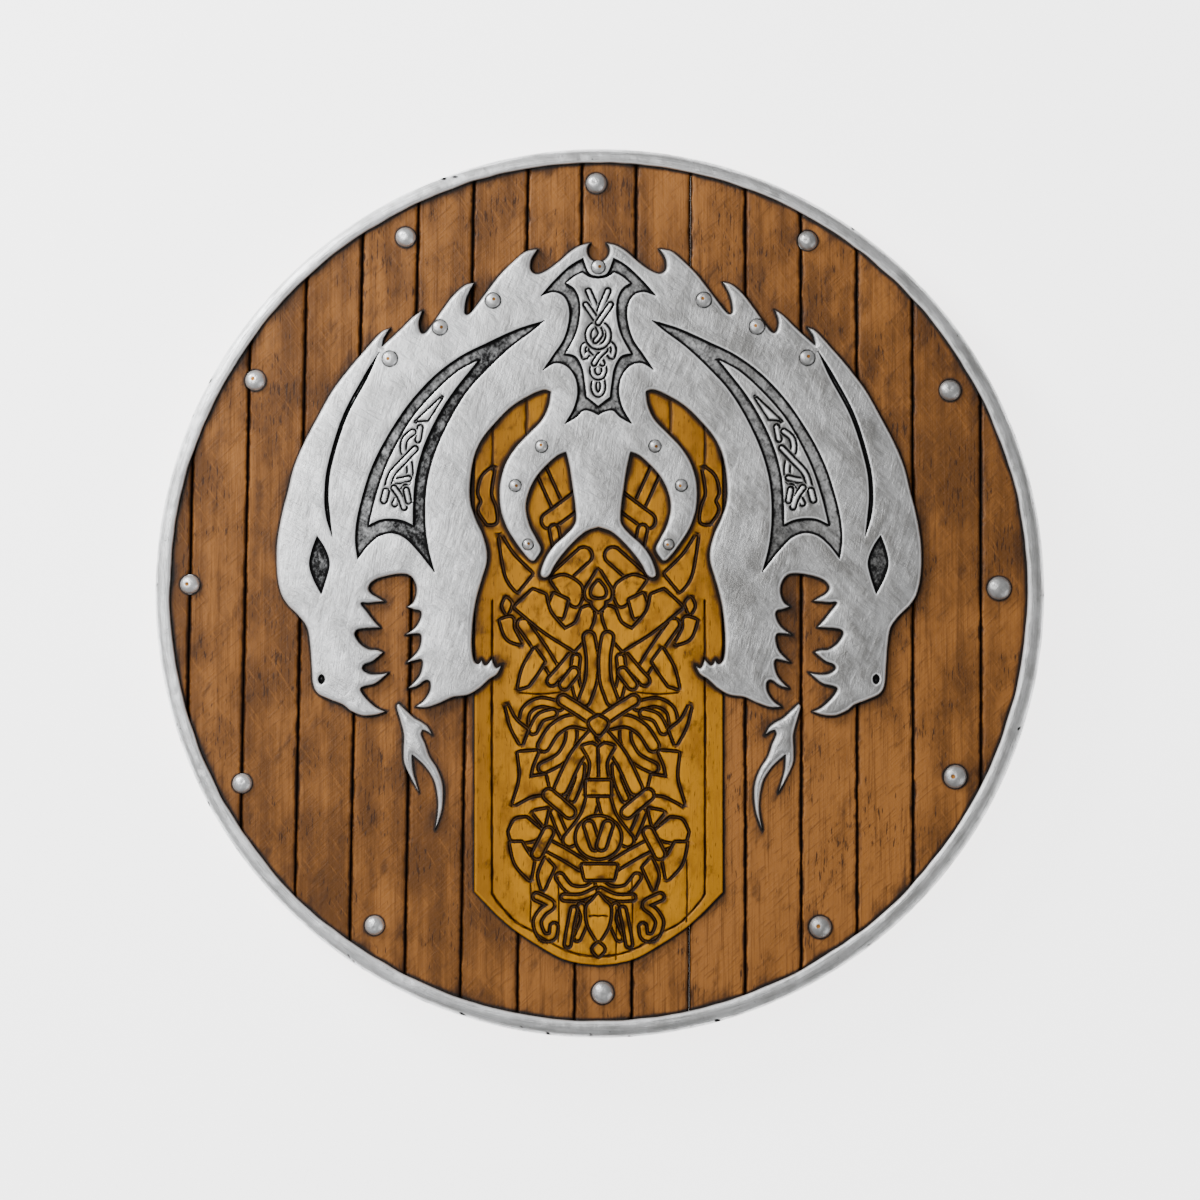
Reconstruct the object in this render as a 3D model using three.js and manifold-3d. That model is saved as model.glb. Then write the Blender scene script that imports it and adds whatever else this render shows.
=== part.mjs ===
// A round plank shield, lying face up. Sixteen boards stand side by side inside a rounded metal rim, with
// twelve dome-headed rivets round the edge. On the boards lie a carved and gilded panel and, over its
// upper half, a cast plate of two dragon heads that look outwards and down, mirrored about the middle. A
// small flame lies below each mouth. On the back, two battens cross the boards, and a hand grip and an
// arm strap of leather lie between them.
//
// Millimetres. The boards run along Y, +Z is the side that faces the enemy, and the origin is on the
// surface that the battens lie on, below the middle of the shield.
import * as THREE from 'three';
import { mergeVertices } from 'three/addons/utils/BufferGeometryUtils.js';
import Module from 'manifold-3d';

const wasm = await Module();
wasm.setup();

// ---- driving sizes ----
const SHIELD_RADIUS = 306;
const RIM_FACE_WIDTH = 11;
const RIM_WALL = 2.75;
const RIM_CREST = 4;
const RIM_LIP = 2.5;
const BATTEN_THICKNESS = 24;
const BOARD_THICKNESS = 10;
const PANEL_THICKNESS = 3;
const PLATE_THICKNESS = 7;
const FLAME_THICKNESS = 4;
const CLEARANCE = 0.3;

const FIRST_BOARD_WIDTH = 24;
const BOARD_PITCH = 38.3;
const LAST_JOINT_X = 262.5;
const BOARD_JOINTS = 15;
const BOARD_CHAMFER = 1.2;

const RIVET_CIRCLE = 278.5;
const RIVET_HEAD_RADIUS = 8;
const RIVET_HEAD_HEIGHT = 6;
const RIVET_SHANK_RADIUS = 2.5;
const ROVE_RADIUS = 6;
const ROVE_THICKNESS = 1.5;
const STUD_HEAD_HEIGHT = 2;

const GROOVE_WIDTH = 2.4;
const GROOVE_DEPTH = 1.25;
const CHANNEL_DEPTH = 2;
const RIM_SIDES = 56;
const FLATNESS = 0.6;
const GROOVE_FLATNESS = 1.2;

// ---- heights ----
const BACK_Z = BATTEN_THICKNESS;
const FACE_Z = BACK_Z + BOARD_THICKNESS;
const PANEL_Z = FACE_Z + PANEL_THICKNESS;
const PLATE_Z = FACE_Z + PLATE_THICKNESS;
const BOARD_RADIUS = SHIELD_RADIUS - RIM_WALL - CLEARANCE;

// ---- finishes ----
const finish = (color, roughness, metalness) => new THREE.MeshStandardMaterial({ color, roughness, metalness });
const stainedWood = finish('#9a6638', 0.6, 0);
const palerWood = finish('#a97f52', 0.7, 0);
const oldGold = finish('#b0822c', 0.5, 0.2);
const wornSilver = finish('#b9bbbd', 0.45, 0.9);
const brightSilver = finish('#c9cccf', 0.4, 0.9);
const brownLeather = finish('#4a2c1a', 0.65, 0);

const shield = new THREE.Group();

function addPiece(name, geometry, material) {
  const piece = new THREE.Mesh(geometry, material);
  piece.name = name;
  shield.add(piece);
}

// ---- solids ----
function toSolid(geometry) {
  const bare = geometry.clone();
  bare.deleteAttribute('normal');
  bare.deleteAttribute('uv');
  const merged = mergeVertices(bare, 1e-4);
  const vertProperties = new Float32Array(merged.attributes.position.array);
  const triVerts = new Uint32Array(merged.index.array);
  return new wasm.Manifold(new wasm.Mesh({ numProp: 3, vertProperties, triVerts }));
}

// Corners that lie within a hundredth of a millimetre become one, and faces that this closes up are left out.
function toGeometry(solid) {
  const mesh = solid.getMesh();
  const geometry = new THREE.BufferGeometry();
  geometry.setAttribute('position', new THREE.BufferAttribute(new Float32Array(mesh.vertProperties), 3));
  geometry.setIndex(new THREE.BufferAttribute(new Uint32Array(mesh.triVerts), 1));
  const welded = mergeVertices(geometry, 0.01);
  const corners = welded.index.array;
  const kept = [];
  for (let i = 0; i < corners.length; i += 3) {
    const [a, b, c] = corners.slice(i, i + 3);
    if (a !== b && b !== c && c !== a) {
      kept.push(a, b, c);
    }
  }
  welded.setIndex(kept);
  return welded;
}

// A prism of an outline from one height to another.
function prism(outline, bottom, top) {
  const settings = { depth: top - bottom, bevelEnabled: false, steps: 1 };
  const straight = new THREE.ExtrudeGeometry(new THREE.Shape(outline), settings);
  straight.translate(0, 0, bottom);
  return toSolid(straight);
}

function rod(radius, bottom, top, x = 0, y = 0, sides = 12) {
  const cylinder = new THREE.CylinderGeometry(radius, radius, top - bottom, sides);
  cylinder.rotateX(Math.PI / 2);
  cylinder.translate(x, y, (top + bottom) / 2);
  return toSolid(cylinder);
}

// ---- outlines ----
const point = ([x, y]) => new THREE.Vector2(x, y);
const across = (p) => new THREE.Vector2(-p.x, p.y);

// Leaves out the points of a line that it can do without, to within a distance.
function thin(points, flatness) {
  const [first, last] = [points[0], points.at(-1)];
  const chord = last.clone().sub(first);
  let furthest = 0;
  let most = flatness;
  points.forEach((p, i) => {
    const off = Math.abs(chord.cross(p.clone().sub(first))) / Math.max(chord.length(), 1e-6);
    if (off > most) {
      most = off;
      furthest = i;
    }
  });
  if (furthest === 0) {
    return [first, last];
  }
  return [...thin(points.slice(0, furthest + 1), flatness).slice(0, -1), ...thin(points.slice(furthest), flatness)];
}

// A smooth run through its points, with a corner at each end.
function smoothRun(coordinates, flatness = FLATNESS) {
  const curve = new THREE.SplineCurve(coordinates.map(point));
  return thin(curve.getPoints(8 * (coordinates.length - 1)), flatness);
}

// Runs joined end to end, each corner kept once.
function joinRuns(runs) {
  const joined = [];
  for (const run of runs) {
    const points = smoothRun(run);
    if (joined.length > 0 && joined.at(-1).distanceTo(points[0]) < 0.01) {
      points.shift();
    }
    joined.push(...points);
  }
  return joined;
}

// A closed outline, without its repeated last point.
function closeRuns(runs) {
  const joined = joinRuns(runs);
  if (joined[0].distanceTo(joined.at(-1)) < 0.01) {
    joined.pop();
  }
  return joined;
}

// The outline whose left half runs from one point on the middle line to another.
function mirrorHalf(half) {
  const right = half.filter((p) => p.x < -0.01).map(across).reverse();
  return [...half, ...right];
}

const mirrorOutline = (outline) => outline.map(across).reverse();

// An outline moved outwards by a distance, or inwards by a negative one.
function offsetOutline(outline, distance) {
  const outwards = THREE.ShapeUtils.isClockWise(outline) ? -distance : distance;
  return outline.map((p, i) => {
    const before = outline.at(i - 1);
    const after = outline[(i + 1) % outline.length];
    const inbound = p.clone().sub(before).normalize();
    const outbound = after.clone().sub(p).normalize();
    const normal = new THREE.Vector2(inbound.y + outbound.y, -inbound.x - outbound.x).normalize();
    const reach = Math.max(0.5, normal.dot(new THREE.Vector2(inbound.y, -inbound.x)));
    return p.clone().addScaledVector(normal, outwards / reach);
  });
}

// The outline of a band of one width along a line, square at its ends or round at its last one. Its square
// ends lie past those of the line by an overrun.
function bandOutline({ line, width, round, overrun = 0 }) {
  const middle = smoothRun(line, GROOVE_FLATNESS);
  const last = middle.length - 1;
  const left = [];
  const right = [];
  middle.forEach((p, i) => {
    const along = middle[Math.min(i + 1, last)].clone().sub(middle[Math.max(i - 1, 0)]).normalize();
    const side = new THREE.Vector2(-along.y, along.x).multiplyScalar(width / 2);
    const ahead = (i === 0 ? -overrun : 0) + (i === last && !round ? overrun : 0);
    left.push(p.clone().add(side).addScaledVector(along, ahead));
    right.push(p.clone().sub(side).addScaledVector(along, ahead));
  });
  const cap = [];
  if (round) {
    const end = middle.at(-1);
    const start = left.at(-1).clone().sub(end);
    for (let i = 1; i < 4; i += 1) {
      cap.push(end.clone().add(start.clone().rotateAround(new THREE.Vector2(), (-Math.PI * i) / 4)));
    }
  }
  return [...left, ...cap, ...right.reverse()];
}

// ---- the boards ----
// A joint crosses the middle at x and leans a little, most on the left and hardly at all on the right.
function boardJoint(i) {
  if (i === 0) {
    return { x: -SHIELD_RADIUS, slope: 0 };
  }
  if (i > BOARD_JOINTS) {
    return { x: SHIELD_RADIUS, slope: 0 };
  }
  const x = i === BOARD_JOINTS ? LAST_JOINT_X : -SHIELD_RADIUS + FIRST_BOARD_WIDTH + BOARD_PITCH * (i - 1);
  return { x, slope: THREE.MathUtils.clamp(0.008 - 0.00009 * x, 0.001, 0.017) };
}

// A board between two joints, with both its upper edges chamfered.
function boardStrip(left, right) {
  const reach = SHIELD_RADIUS + 4;
  const ends = [-reach, reach].map((y) => {
    const from = left.x + left.slope * y + CLEARANCE / 2;
    const to = right.x + right.slope * y - CLEARANCE / 2;
    return [[from, y, BACK_Z], [to, y, BACK_Z], [to, y, FACE_Z - BOARD_CHAMFER], [to - BOARD_CHAMFER, y, FACE_Z],
      [from + BOARD_CHAMFER, y, FACE_Z], [from, y, FACE_Z - BOARD_CHAMFER]];
  });
  const sides = ends[0].length;
  const faces = [];
  for (let i = 0; i < sides; i += 1) {
    const next = (i + 1) % sides;
    faces.push(i, next + sides, next, i, i + sides, next + sides);
  }
  for (let i = 1; i < sides - 1; i += 1) {
    faces.push(0, i, i + 1, sides, sides + i + 1, sides + i);
  }
  const geometry = new THREE.BufferGeometry();
  geometry.setAttribute('position', new THREE.Float32BufferAttribute(ends.flat(2), 3));
  geometry.setIndex(faces);
  return toSolid(geometry);
}

function addBoards(rivets) {
  const disc = rod(BOARD_RADIUS, BACK_Z, FACE_Z, 0, 0, RIM_SIDES);
  const holes = [
    ...rivets.map(({ x, y }) => rod(RIVET_SHANK_RADIUS + CLEARANCE, BACK_Z - 1, FACE_Z + 1, x, y, 8)),
    ...strapEnds().map(({ x, y }) => rod(STRAP_SCREW_RADIUS + CLEARANCE, BACK_Z - 1,
      BACK_Z + STRAP_SCREW_DEPTH + CLEARANCE, x, y, 8)),
  ];
  for (let i = 0; i <= BOARD_JOINTS; i += 1) {
    let board = boardStrip(boardJoint(i), boardJoint(i + 1)).intersect(disc);
    for (const hole of holes) {
      board = board.subtract(hole);
    }
    addPiece(`board_${String(i + 1).padStart(2, '0')}`, toGeometry(board), stainedWood);
  }
}

// ---- the rim: a rounded strip on the face, the wall round the edge and a lip behind ----
function addRim() {
  const inner = SHIELD_RADIUS - RIM_FACE_WIDTH;
  const groove = SHIELD_RADIUS - RIM_WALL;
  const crest = FACE_Z + RIM_CREST;
  const foot = BACK_Z - RIM_LIP;
  const profile = [
    [inner, FACE_Z], [inner + 0.6, crest - 0.6], [inner + 3, crest], [SHIELD_RADIUS - 2.5, crest - 1.2],
    [SHIELD_RADIUS, crest - 4.5], [SHIELD_RADIUS, foot + 1.5], [SHIELD_RADIUS - 1.5, foot], [inner, foot],
    [inner, BACK_Z], [groove, BACK_Z], [groove, FACE_Z], [inner, FACE_Z],
  ];
  const ring = new THREE.LatheGeometry(profile.map(point).reverse(), RIM_SIDES);
  ring.rotateX(Math.PI / 2);
  addPiece('rim', toGeometry(toSolid(ring)), brightSilver);
}

// ---- the rivets round the edge: a dome, a shank through the board and a rove behind ----
// Set by eye, so each is a little off its even twelfth of the circle: degrees round, millimetres out.
const RIVET_DRIFT = [[0.5, -3.5], [-0.2, 0], [-0.8, 3], [0.3, 3.5], [-1.5, 0.5], [-1.7, 0],
  [-1.1, 3.5], [-1.8, 0], [-3.9, -2.5], [0.6, -3.5], [3.5, -3], [2.6, -3]];

function rivetPlaces() {
  return RIVET_DRIFT.map(([turn, out], i) => {
    const angle = THREE.MathUtils.degToRad(i * (360 / RIVET_DRIFT.length) + turn);
    const radius = RIVET_CIRCLE + out;
    return { x: radius * Math.cos(angle), y: radius * Math.sin(angle) };
  });
}

function addRivets(rivets) {
  const domeRings = 2;
  const profile = [[0, BACK_Z - ROVE_THICKNESS], [ROVE_RADIUS, BACK_Z], [RIVET_SHANK_RADIUS, BACK_Z],
    [RIVET_SHANK_RADIUS, FACE_Z]];
  for (let ring = 0; ring <= domeRings; ring += 1) {
    const rise = (Math.PI / 2) * (ring / domeRings);
    profile.push([RIVET_HEAD_RADIUS * Math.cos(rise), FACE_Z + RIVET_HEAD_HEIGHT * Math.sin(rise)]);
  }
  profile.at(-1)[0] = 0;
  rivets.forEach(({ x, y }, i) => {
    const rivet = new THREE.LatheGeometry(profile.map(point), 10);
    rivet.rotateX(Math.PI / 2);
    rivet.translate(x, y, 0);
    addPiece(`rim_rivet_${String(i + 1).padStart(2, '0')}`, toGeometry(toSolid(rivet)), brightSilver);
  });
}

// ---- the dragon plate, left half, from the notch at the top round to the fork at the bottom ----
const NOTCH = { y: 235, radius: 7.5, lip: 42 };

function notchRun() {
  const run = [];
  for (let turn = 270; turn >= 90 + NOTCH.lip; turn -= 23) {
    const angle = THREE.MathUtils.degToRad(turn);
    run.push([NOTCH.radius * Math.cos(angle), NOTCH.y + NOTCH.radius * Math.sin(angle)]);
  }
  return run;
}

const CREST_RUNS = [
  [[-5.02, 240.57], [-12, 239], [-19, 235], [-27, 228], [-35, 222], [-42, 219.2], [-46.3, 222], [-46, 229],
    [-41.5, 236.3]],
  [[-41.5, 236.3], [-50, 234.8], [-58, 228.5], [-68, 218.5], [-78, 205.5], [-86, 195], [-89.8, 191.3],
    [-92, 193], [-90.5, 203], [-85.3, 213.3]],
  [[-85.3, 213.3], [-92, 211.5], [-100, 204.5], [-108, 194], [-115, 184], [-119.5, 178.5], [-122.5, 179.5],
    [-123.5, 186], [-121, 194.3]],
  [[-121, 194.3], [-127.5, 190], [-136, 181.5], [-143, 175], [-149, 169.5]],
  [[-149, 169.5], [-147.5, 175.5], [-143.3, 182]],
];
const BROW_RUN = [[-143.3, 182], [-150, 179], [-160, 168], [-172, 154], [-184, 138], [-194, 120], [-203, 103],
  [-210, 86], [-214, 70], [-218.5, 52], [-221.5, 33], [-221.5, 14], [-219, 0], [-214, -9], [-206.5, -16.5],
  [-200.5, -25], [-198.5, -37], [-197.5, -50], [-196.5, -63], [-193, -70], [-185, -74], [-176, -77.5],
  [-170, -82], [-162, -85.2], [-153, -84.6], [-146, -82.2]];
const UPPER_TEETH = [
  [[-146, -82.2], [-153, -79], [-160, -72.5], [-163.5, -67], [-161, -65], [-153, -62.8], [-144, -55.3]],
  [[-144, -55.3], [-150, -56.3], [-157, -56.2], [-162, -53.2], [-161, -50], [-155, -47.6], [-147.8, -41.5]],
  [[-147.8, -41.5], [-152, -39.7], [-158, -39.2], [-164, -35], [-167.6, -28.6], [-164, -25.6], [-149.7, -24.6]],
  [[-149.7, -24.6], [-154, -20], [-159, -13.5], [-163.3, -7.6], [-158, -7.6], [-146.8, -6.6]],
];
const MOUTH_CORNER = [[-146.8, -6.6], [-151, -4], [-156.5, -0.5], [-158, 3.5], [-154, 8], [-145, 11], [-135, 12.3],
  [-129, 10.6], [-125.7, 5], [-125.3, -1], [-127.5, -7], [-131.7, -10.3]];
const LOWER_TEETH = [
  [[-131.7, -10.3], [-126.5, -12.3], [-122.3, -13.4], [-122.3, -18], [-126, -24.3], [-133.2, -29.7]],
  [[-133.2, -29.7], [-127, -29], [-122.5, -29.2], [-122, -34], [-124.5, -41], [-132.3, -48.8]],
  [[-132.3, -48.8], [-126, -47.3], [-121.4, -46.8], [-121.2, -52], [-124, -59], [-131.3, -66.5]],
  [[-131.3, -66.5], [-125, -65], [-119, -61], [-115.8, -62], [-116, -68], [-120, -74.5], [-126, -79]],
];
const CHIN_RUN = [[-126, -79], [-118, -79.4], [-109, -76.5], [-100, -72.5], [-90, -71], [-82, -66.5],
  [-75, -60.3], [-69.5, -56.5], [-66.3, -50]];
const SPUR_RUNS = [
  [[-66.3, -50], [-70.3, -52], [-73, -45.8]],
  [[-73, -45.8], [-77.5, -50.4], [-80.2, -46.5]],
  [[-80.2, -46.5], [-82.5, -49.3], [-85.5, -46.5], [-86.8, -36], [-86, -20], [-83.7, -5], [-79.5, 10], [-76.6, 20],
    [-76.5, 29], [-79.5, 40], [-84, 50], [-87.8, 62], [-88, 76], [-85.5, 92], [-80.5, 104], [-72, 115],
    [-60, 127], [-47, 135], [-38, 138.6], [-33, 137.6]],
];
const CLAW_RUNS = [
  [[-33, 137.6], [-34.5, 128], [-39, 118.5], [-48, 109], [-57, 99.5], [-64, 88], [-67.8, 74], [-67.5, 58],
    [-63, 44], [-56, 32.5], [-49, 23.5], [-45.2, 20.9], [-42.5, 23], [-39.2, 29.5], [-42.5, 37], [-47, 46],
    [-49.5, 58], [-47.5, 69], [-42.5, 79], [-35, 87.5], [-28, 93.5], [-22.3, 95.8]],
  [[-22.3, 95.8], [-20, 86], [-18, 73], [-16.2, 60], [-15.6, 50], [-17.5, 44.8], [-23, 38.8], [-30, 32.5],
    [-35.5, 25], [-39, 17], [-39.8, 11.6], [-37, 9.4], [-33.4, 11.5], [-30, 18], [-25, 25], [-18, 33],
    [-9, 41], [0, 44.2]],
];

// The sunk crescent behind the jaw, the leaf left standing in it, the eye, the line of the fin, the nostril,
// and the sunk field at the top with the small shield left standing in it.
const CRESCENT_RUNS = [
  [[-37, 186.5], [-55, 181], [-75, 172], [-95, 162], [-113, 148.5], [-130, 130], [-145, 107.5], [-155, 88],
    [-161.5, 69], [-166, 50], [-167.2, 35], [-165.5, 22.5]],
  [[-165.5, 22.5], [-159, 31], [-151, 38], [-142, 40.3], [-133, 37], [-124, 28], [-112.5, 13.5]],
  [[-112.5, 13.5], [-117, 31], [-119, 50], [-118, 73], [-112.5, 95], [-102, 118.5], [-90, 138], [-76, 153.5],
    [-60, 168.5], [-46, 179], [-37, 186.5]],
];
const LEAF_RUNS = [
  [[-82.5, 159.5], [-97, 151.5], [-112, 138], [-127, 121], [-138, 103], [-147, 84], [-153.5, 64], [-157.8, 46]],
  [[-157.8, 46], [-150, 49.6], [-142, 50.3], [-134, 49], [-127.5, 46]],
  [[-127.5, 46], [-127.2, 62], [-125.5, 80], [-120.5, 99], [-112, 118], [-101, 136], [-82.5, 159.5]],
];
const EYE_RUNS = [
  [[-193.5, 38.5], [-188, 30], [-184.8, 20], [-187, 9], [-190.5, -1.5]],
  [[-190.5, -1.5], [-196, 9], [-198.8, 19], [-197, 29], [-193.5, 38.5]],
];
const FIN_LINE_RUNS = [
  [[-151, 165], [-161, 149.3], [-176, 120.8], [-186, 88], [-188.4, 68], [-187.3, 52], [-183, 38]],
  [[-183, 38], [-184.6, 52], [-185.7, 68], [-183.3, 88], [-173.5, 119.5], [-158.8, 147.5], [-151, 165]],
];
const NOSTRIL_RUNS = [
  [[-190.3, -56.8], [-192, -59.8], [-190.3, -63.2]],
  [[-190.3, -63.2], [-188.6, -60.2], [-190.3, -56.8]],
];
const CARTOUCHE_RUNS = [
  [[0, 217], [-5, 218.2], [-7.8, 222], [-10.5, 229.7]],
  [[-10.5, 229.7], [-20, 224], [-31, 213.5], [-39.5, 203.7]],
  [[-39.5, 203.7], [-31, 206.3], [-24, 203.5], [-20.3, 196], [-20.3, 186], [-24, 173.5], [-31, 163], [-38, 152.5]],
  [[-38, 152.5], [-30, 157.2], [-22, 155.3], [-16, 147.5], [-14.3, 137], [-17, 126], [-23, 115.5]],
  [[-23, 115.5], [-15, 120], [-10.2, 124.5], [-5, 124], [0, 121.5]],
];
const SHIELDLET_RUNS = [
  [[0, 215.5], [-6, 216.6], [-11, 219.8]],
  [[-11, 219.8], [-16.5, 217], [-22, 212.3]],
  [[-22, 212.3], [-16.5, 208.5], [-13, 201], [-12.6, 190], [-15.5, 177], [-22.5, 163.8]],
  [[-22.5, 163.8], [-15.5, 161.8], [-11, 154], [-9.2, 144], [-8, 134]],
  [[-8, 134], [-4.5, 131.3], [0, 127.7]],
];

const STUDS = [
  { x: 0, y: 223.5, radius: 4.5 },
  { x: -143.5, y: 160.5, radius: 5 },
  { x: -109, y: 182, radius: 5 },
  { x: -72.5, y: 200.5, radius: 5 },
  { x: -39, y: 100, radius: 4.2 },
  { x: -57, y: 73, radius: 4 },
  { x: -48.3, y: 32.5, radius: 4 },
];

function plateOutline() {
  const half = joinRuns([notchRun(), ...CREST_RUNS, BROW_RUN, ...UPPER_TEETH, MOUTH_CORNER, ...LOWER_TEETH,
    CHIN_RUN, ...SPUR_RUNS, ...CLAW_RUNS]);
  half[0].x = 0;
  return mirrorHalf(half);
}

function addDragonPlate() {
  let plate = prism(plateOutline(), FACE_Z, PLATE_Z);
  plate = plate.subtract(prism(offsetOutline(panelOutline(), CLEARANCE), FACE_Z - 1, PANEL_Z));
  const floor = PLATE_Z - CHANNEL_DEPTH;
  const above = PLATE_Z + 1;
  const sink = (outline, island) => {
    for (const turned of [outline, mirrorOutline(outline)]) {
      plate = plate.subtract(prism(turned, floor, above));
    }
    if (island) {
      for (const turned of [island, mirrorOutline(island)]) {
        plate = plate.add(prism(turned, floor - 0.5, PLATE_Z));
      }
    }
  };
  sink(closeRuns(CRESCENT_RUNS), closeRuns(LEAF_RUNS));
  for (const runs of [EYE_RUNS, FIN_LINE_RUNS, NOSTRIL_RUNS]) {
    sink(closeRuns(runs));
  }
  plate = plate.subtract(prism(mirrorHalf(joinRuns(CARTOUCHE_RUNS)), floor, above));
  plate = plate.add(prism(mirrorHalf(joinRuns(SHIELDLET_RUNS)), floor - 0.5, PLATE_Z));
  addPiece('dragon_plate', toGeometry(plate), wornSilver);
}

// Small domed studs that hold the plate.
function addStuds() {
  const domeRings = 2;
  let count = 0;
  for (const { x, y, radius } of STUDS) {
    for (const side of x === 0 ? [1] : [1, -1]) {
      const profile = [[0, PLATE_Z]];
      for (let ring = 0; ring <= domeRings; ring += 1) {
        const rise = (Math.PI / 2) * (ring / domeRings);
        profile.push([radius * Math.cos(rise), PLATE_Z + STUD_HEAD_HEIGHT * Math.sin(rise)]);
      }
      profile.at(-1)[0] = 0;
      const stud = new THREE.LatheGeometry(profile.map(point), 8);
      stud.rotateX(Math.PI / 2);
      stud.translate(x * side, y, 0);
      count += 1;
      addPiece(`plate_stud_${String(count).padStart(2, '0')}`, toGeometry(toSolid(stud)), brightSilver);
    }
  }
}

// ---- the flame below each mouth ----
const FLAME_RUNS = [
  [[-137.3, -76.5], [-139, -79], [-136.5, -88], [-134, -98], [-134.2, -108], [-134, -116], [-132, -122],
    [-128, -130], [-123, -138.5]],
  [[-123, -138.5], [-125.5, -130], [-127.5, -122], [-128.2, -112]],
  [[-128.2, -112], [-124, -115.5], [-119, -120.5], [-113.5, -129], [-111, -139], [-110.5, -150], [-112.5, -164]],
  [[-112.5, -164], [-108, -152], [-106.6, -140], [-107.5, -130], [-111, -121], [-116, -113], [-119, -104.5],
    [-121.8, -98], [-121, -95]],
  [[-121, -95], [-118, -96], [-114.2, -98.5]],
  [[-114.2, -98.5], [-117, -93], [-121.5, -89.3], [-126.5, -86.5], [-131.5, -82], [-137.3, -76.5]],
];

function addFlames() {
  const left = closeRuns(FLAME_RUNS);
  addPiece('flame_left', toGeometry(prism(left, FACE_Z, FACE_Z + FLAME_THICKNESS)), wornSilver);
  addPiece('flame_right', toGeometry(prism(mirrorOutline(left), FACE_Z, FACE_Z + FLAME_THICKNESS)), wornSilver);
}

// ---- the gilded panel and its interlace ----
const PANEL_SIDE = 85.5;
const PANEL_TOP_Y = 150;

function panelOutline() {
  const foot = [[-PANEL_SIDE, -206], [-70, -222], [-56, -233.5], [-30, -249.5], [-15, -254.6], [0, -256.3]];
  const half = [point([0, PANEL_TOP_Y]), point([-50, 142]), point([-PANEL_SIDE, 112]),
    ...joinRuns([foot.slice(0, 2), foot.slice(1)])];
  return mirrorHalf(half);
}

// Left halves, drawn in order: each band crosses over those before it. Width across the band's edges.
const BANDS = [
  { line: [[-45, 93], [-27, 58]], width: 10 },
  { line: [[-13, 80], [-38, 50]], width: 9 },
  { line: [[-19, 10], [-7, 26]], width: 12, round: true },
  { line: [[-30, 7], [-17, -5]], width: 12, round: true },
  { line: [[-50, -27], [-40, -38], [-35, -52], [-34, -70]], width: 8 },
  { line: [[-53, -4], [-38, -16], [-23, -28], [-11, -40]], width: 13 },
  { line: [[-34, -34], [-27, -48], [-16, -42], [-11, -28]], width: 8 },
  { line: [[-12, -38], [-15, -56], [-10, -72], [1, -90]], width: 8 },
  { line: [[-19, -84], [-29, -90], [-37, -104]], width: 9, round: true },
  { line: [[-2, -92], [-15, -112], [-28, -142]], width: 12 },
  { line: [[-50, -108], [-53, -124], [-57, -144]], width: 12 },
  { line: [[-56, -141], [-44, -134], [-30, -131]], width: 8 },
  { line: [[-4.8, -98], [-5.4, -131]], width: 8 },
  { line: [[-32, -136], [-21, -151], [-17, -166]], width: 8 },
  { line: [[-60, -157], [-46, -165], [-31, -173]], width: 11 },
  { line: [[-39, -170], [-26, -182], [-11, -197]], width: 9 },
  { line: [[-27, -187], [-23, -202], [-12, -207], [2, -201]], width: 8 },
  { line: [[-34, -212], [-41, -224], [-37, -234], [-29, -236]], width: 7, round: true },
];
const LEAVES = [
  [[[-72, 84], [-78, 78], [-81, 66], [-80.5, 54], [-76, 47.5]], [[-76, 47.5], [-71.3, 48], [-74, 66], [-72, 84]]],
  [[[-67.5, 38], [-59, 25], [-46.5, 12.5]], [[-46.5, 12.5], [-56, 1]], [[-56, 1], [-63, 12], [-67.5, 38]]],
  [[[-64, -78], [-49, -94]], [[-49, -94], [-54, -105]], [[-54, -105], [-61, -92], [-64, -78]]],
  [[[-59, -171], [-46, -190]], [[-46, -190], [-51, -196]], [[-51, -196], [-58, -184], [-59, -171]]],
];
// On the middle line: a head, the ring of the body with its eye, the two collars and the mask below.
const HEAD = [[[0, 15], [-4.5, 7], [-8, 1], [-7.5, -4], [-4, -6], [-3.5, -9], [0, -13]]];
const BODY_RING = { y: -168, radius: 17, eye: 9 };
const COLLARS = [{ top: -128, foot: -139, half: 10 }, { top: -187, foot: -197, half: 11 }];
const MASK = [[[0, -206], [-3.5, -212], [-7, -218]], [[-7, -218], [-5.5, -228], [0, -238]]];
const BORDER_X = 73;
const BORDER_TOP_Y = -6;

// Each shape is drawn over the cut so far: it wipes what it covers and leaves a groove along its edges.
const GROOVE_FLOOR = PANEL_Z - GROOVE_DEPTH;
const wipe = (cut, outline) => cut.subtract(prism(outline, GROOVE_FLOOR - 1, PANEL_Z + 2));

function drawBand(cut, { line, width, round }) {
  const whole = bandOutline({ line, width: width + GROOVE_WIDTH, round });
  const inside = bandOutline({ line, width: width - GROOVE_WIDTH, round, overrun: 1 });
  const edges = prism(whole, GROOVE_FLOOR, PANEL_Z + 1).subtract(prism(inside, GROOVE_FLOOR - 1, PANEL_Z + 2));
  return wipe(cut, bandOutline({ line, width, round })).add(edges);
}

function drawShape(cut, runs) {
  let drawn = wipe(cut, closeRuns(runs));
  for (const line of runs) {
    drawn = drawn.add(prism(bandOutline({ line, width: GROOVE_WIDTH }), GROOVE_FLOOR, PANEL_Z + 1));
  }
  return drawn;
}

const flip = (line) => line.map(([x, y]) => [-x, y]);
const bothHalves = (runs) => [...runs, ...runs.map((run) => flip(run).reverse()).reverse()];

function circleRuns(y, halfWidth, halfHeight) {
  const quarter = [0, 1, 2, 3].map((i) => (Math.PI * i) / 6);
  const upper = quarter.map((turn) => [-halfWidth * Math.sin(turn), y + halfHeight * Math.cos(turn)]);
  const lower = quarter.map((turn) => [-halfWidth * Math.cos(turn), y - halfHeight * Math.sin(turn)]);
  return bothHalves([[...upper, ...lower.slice(1)]]);
}

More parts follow.
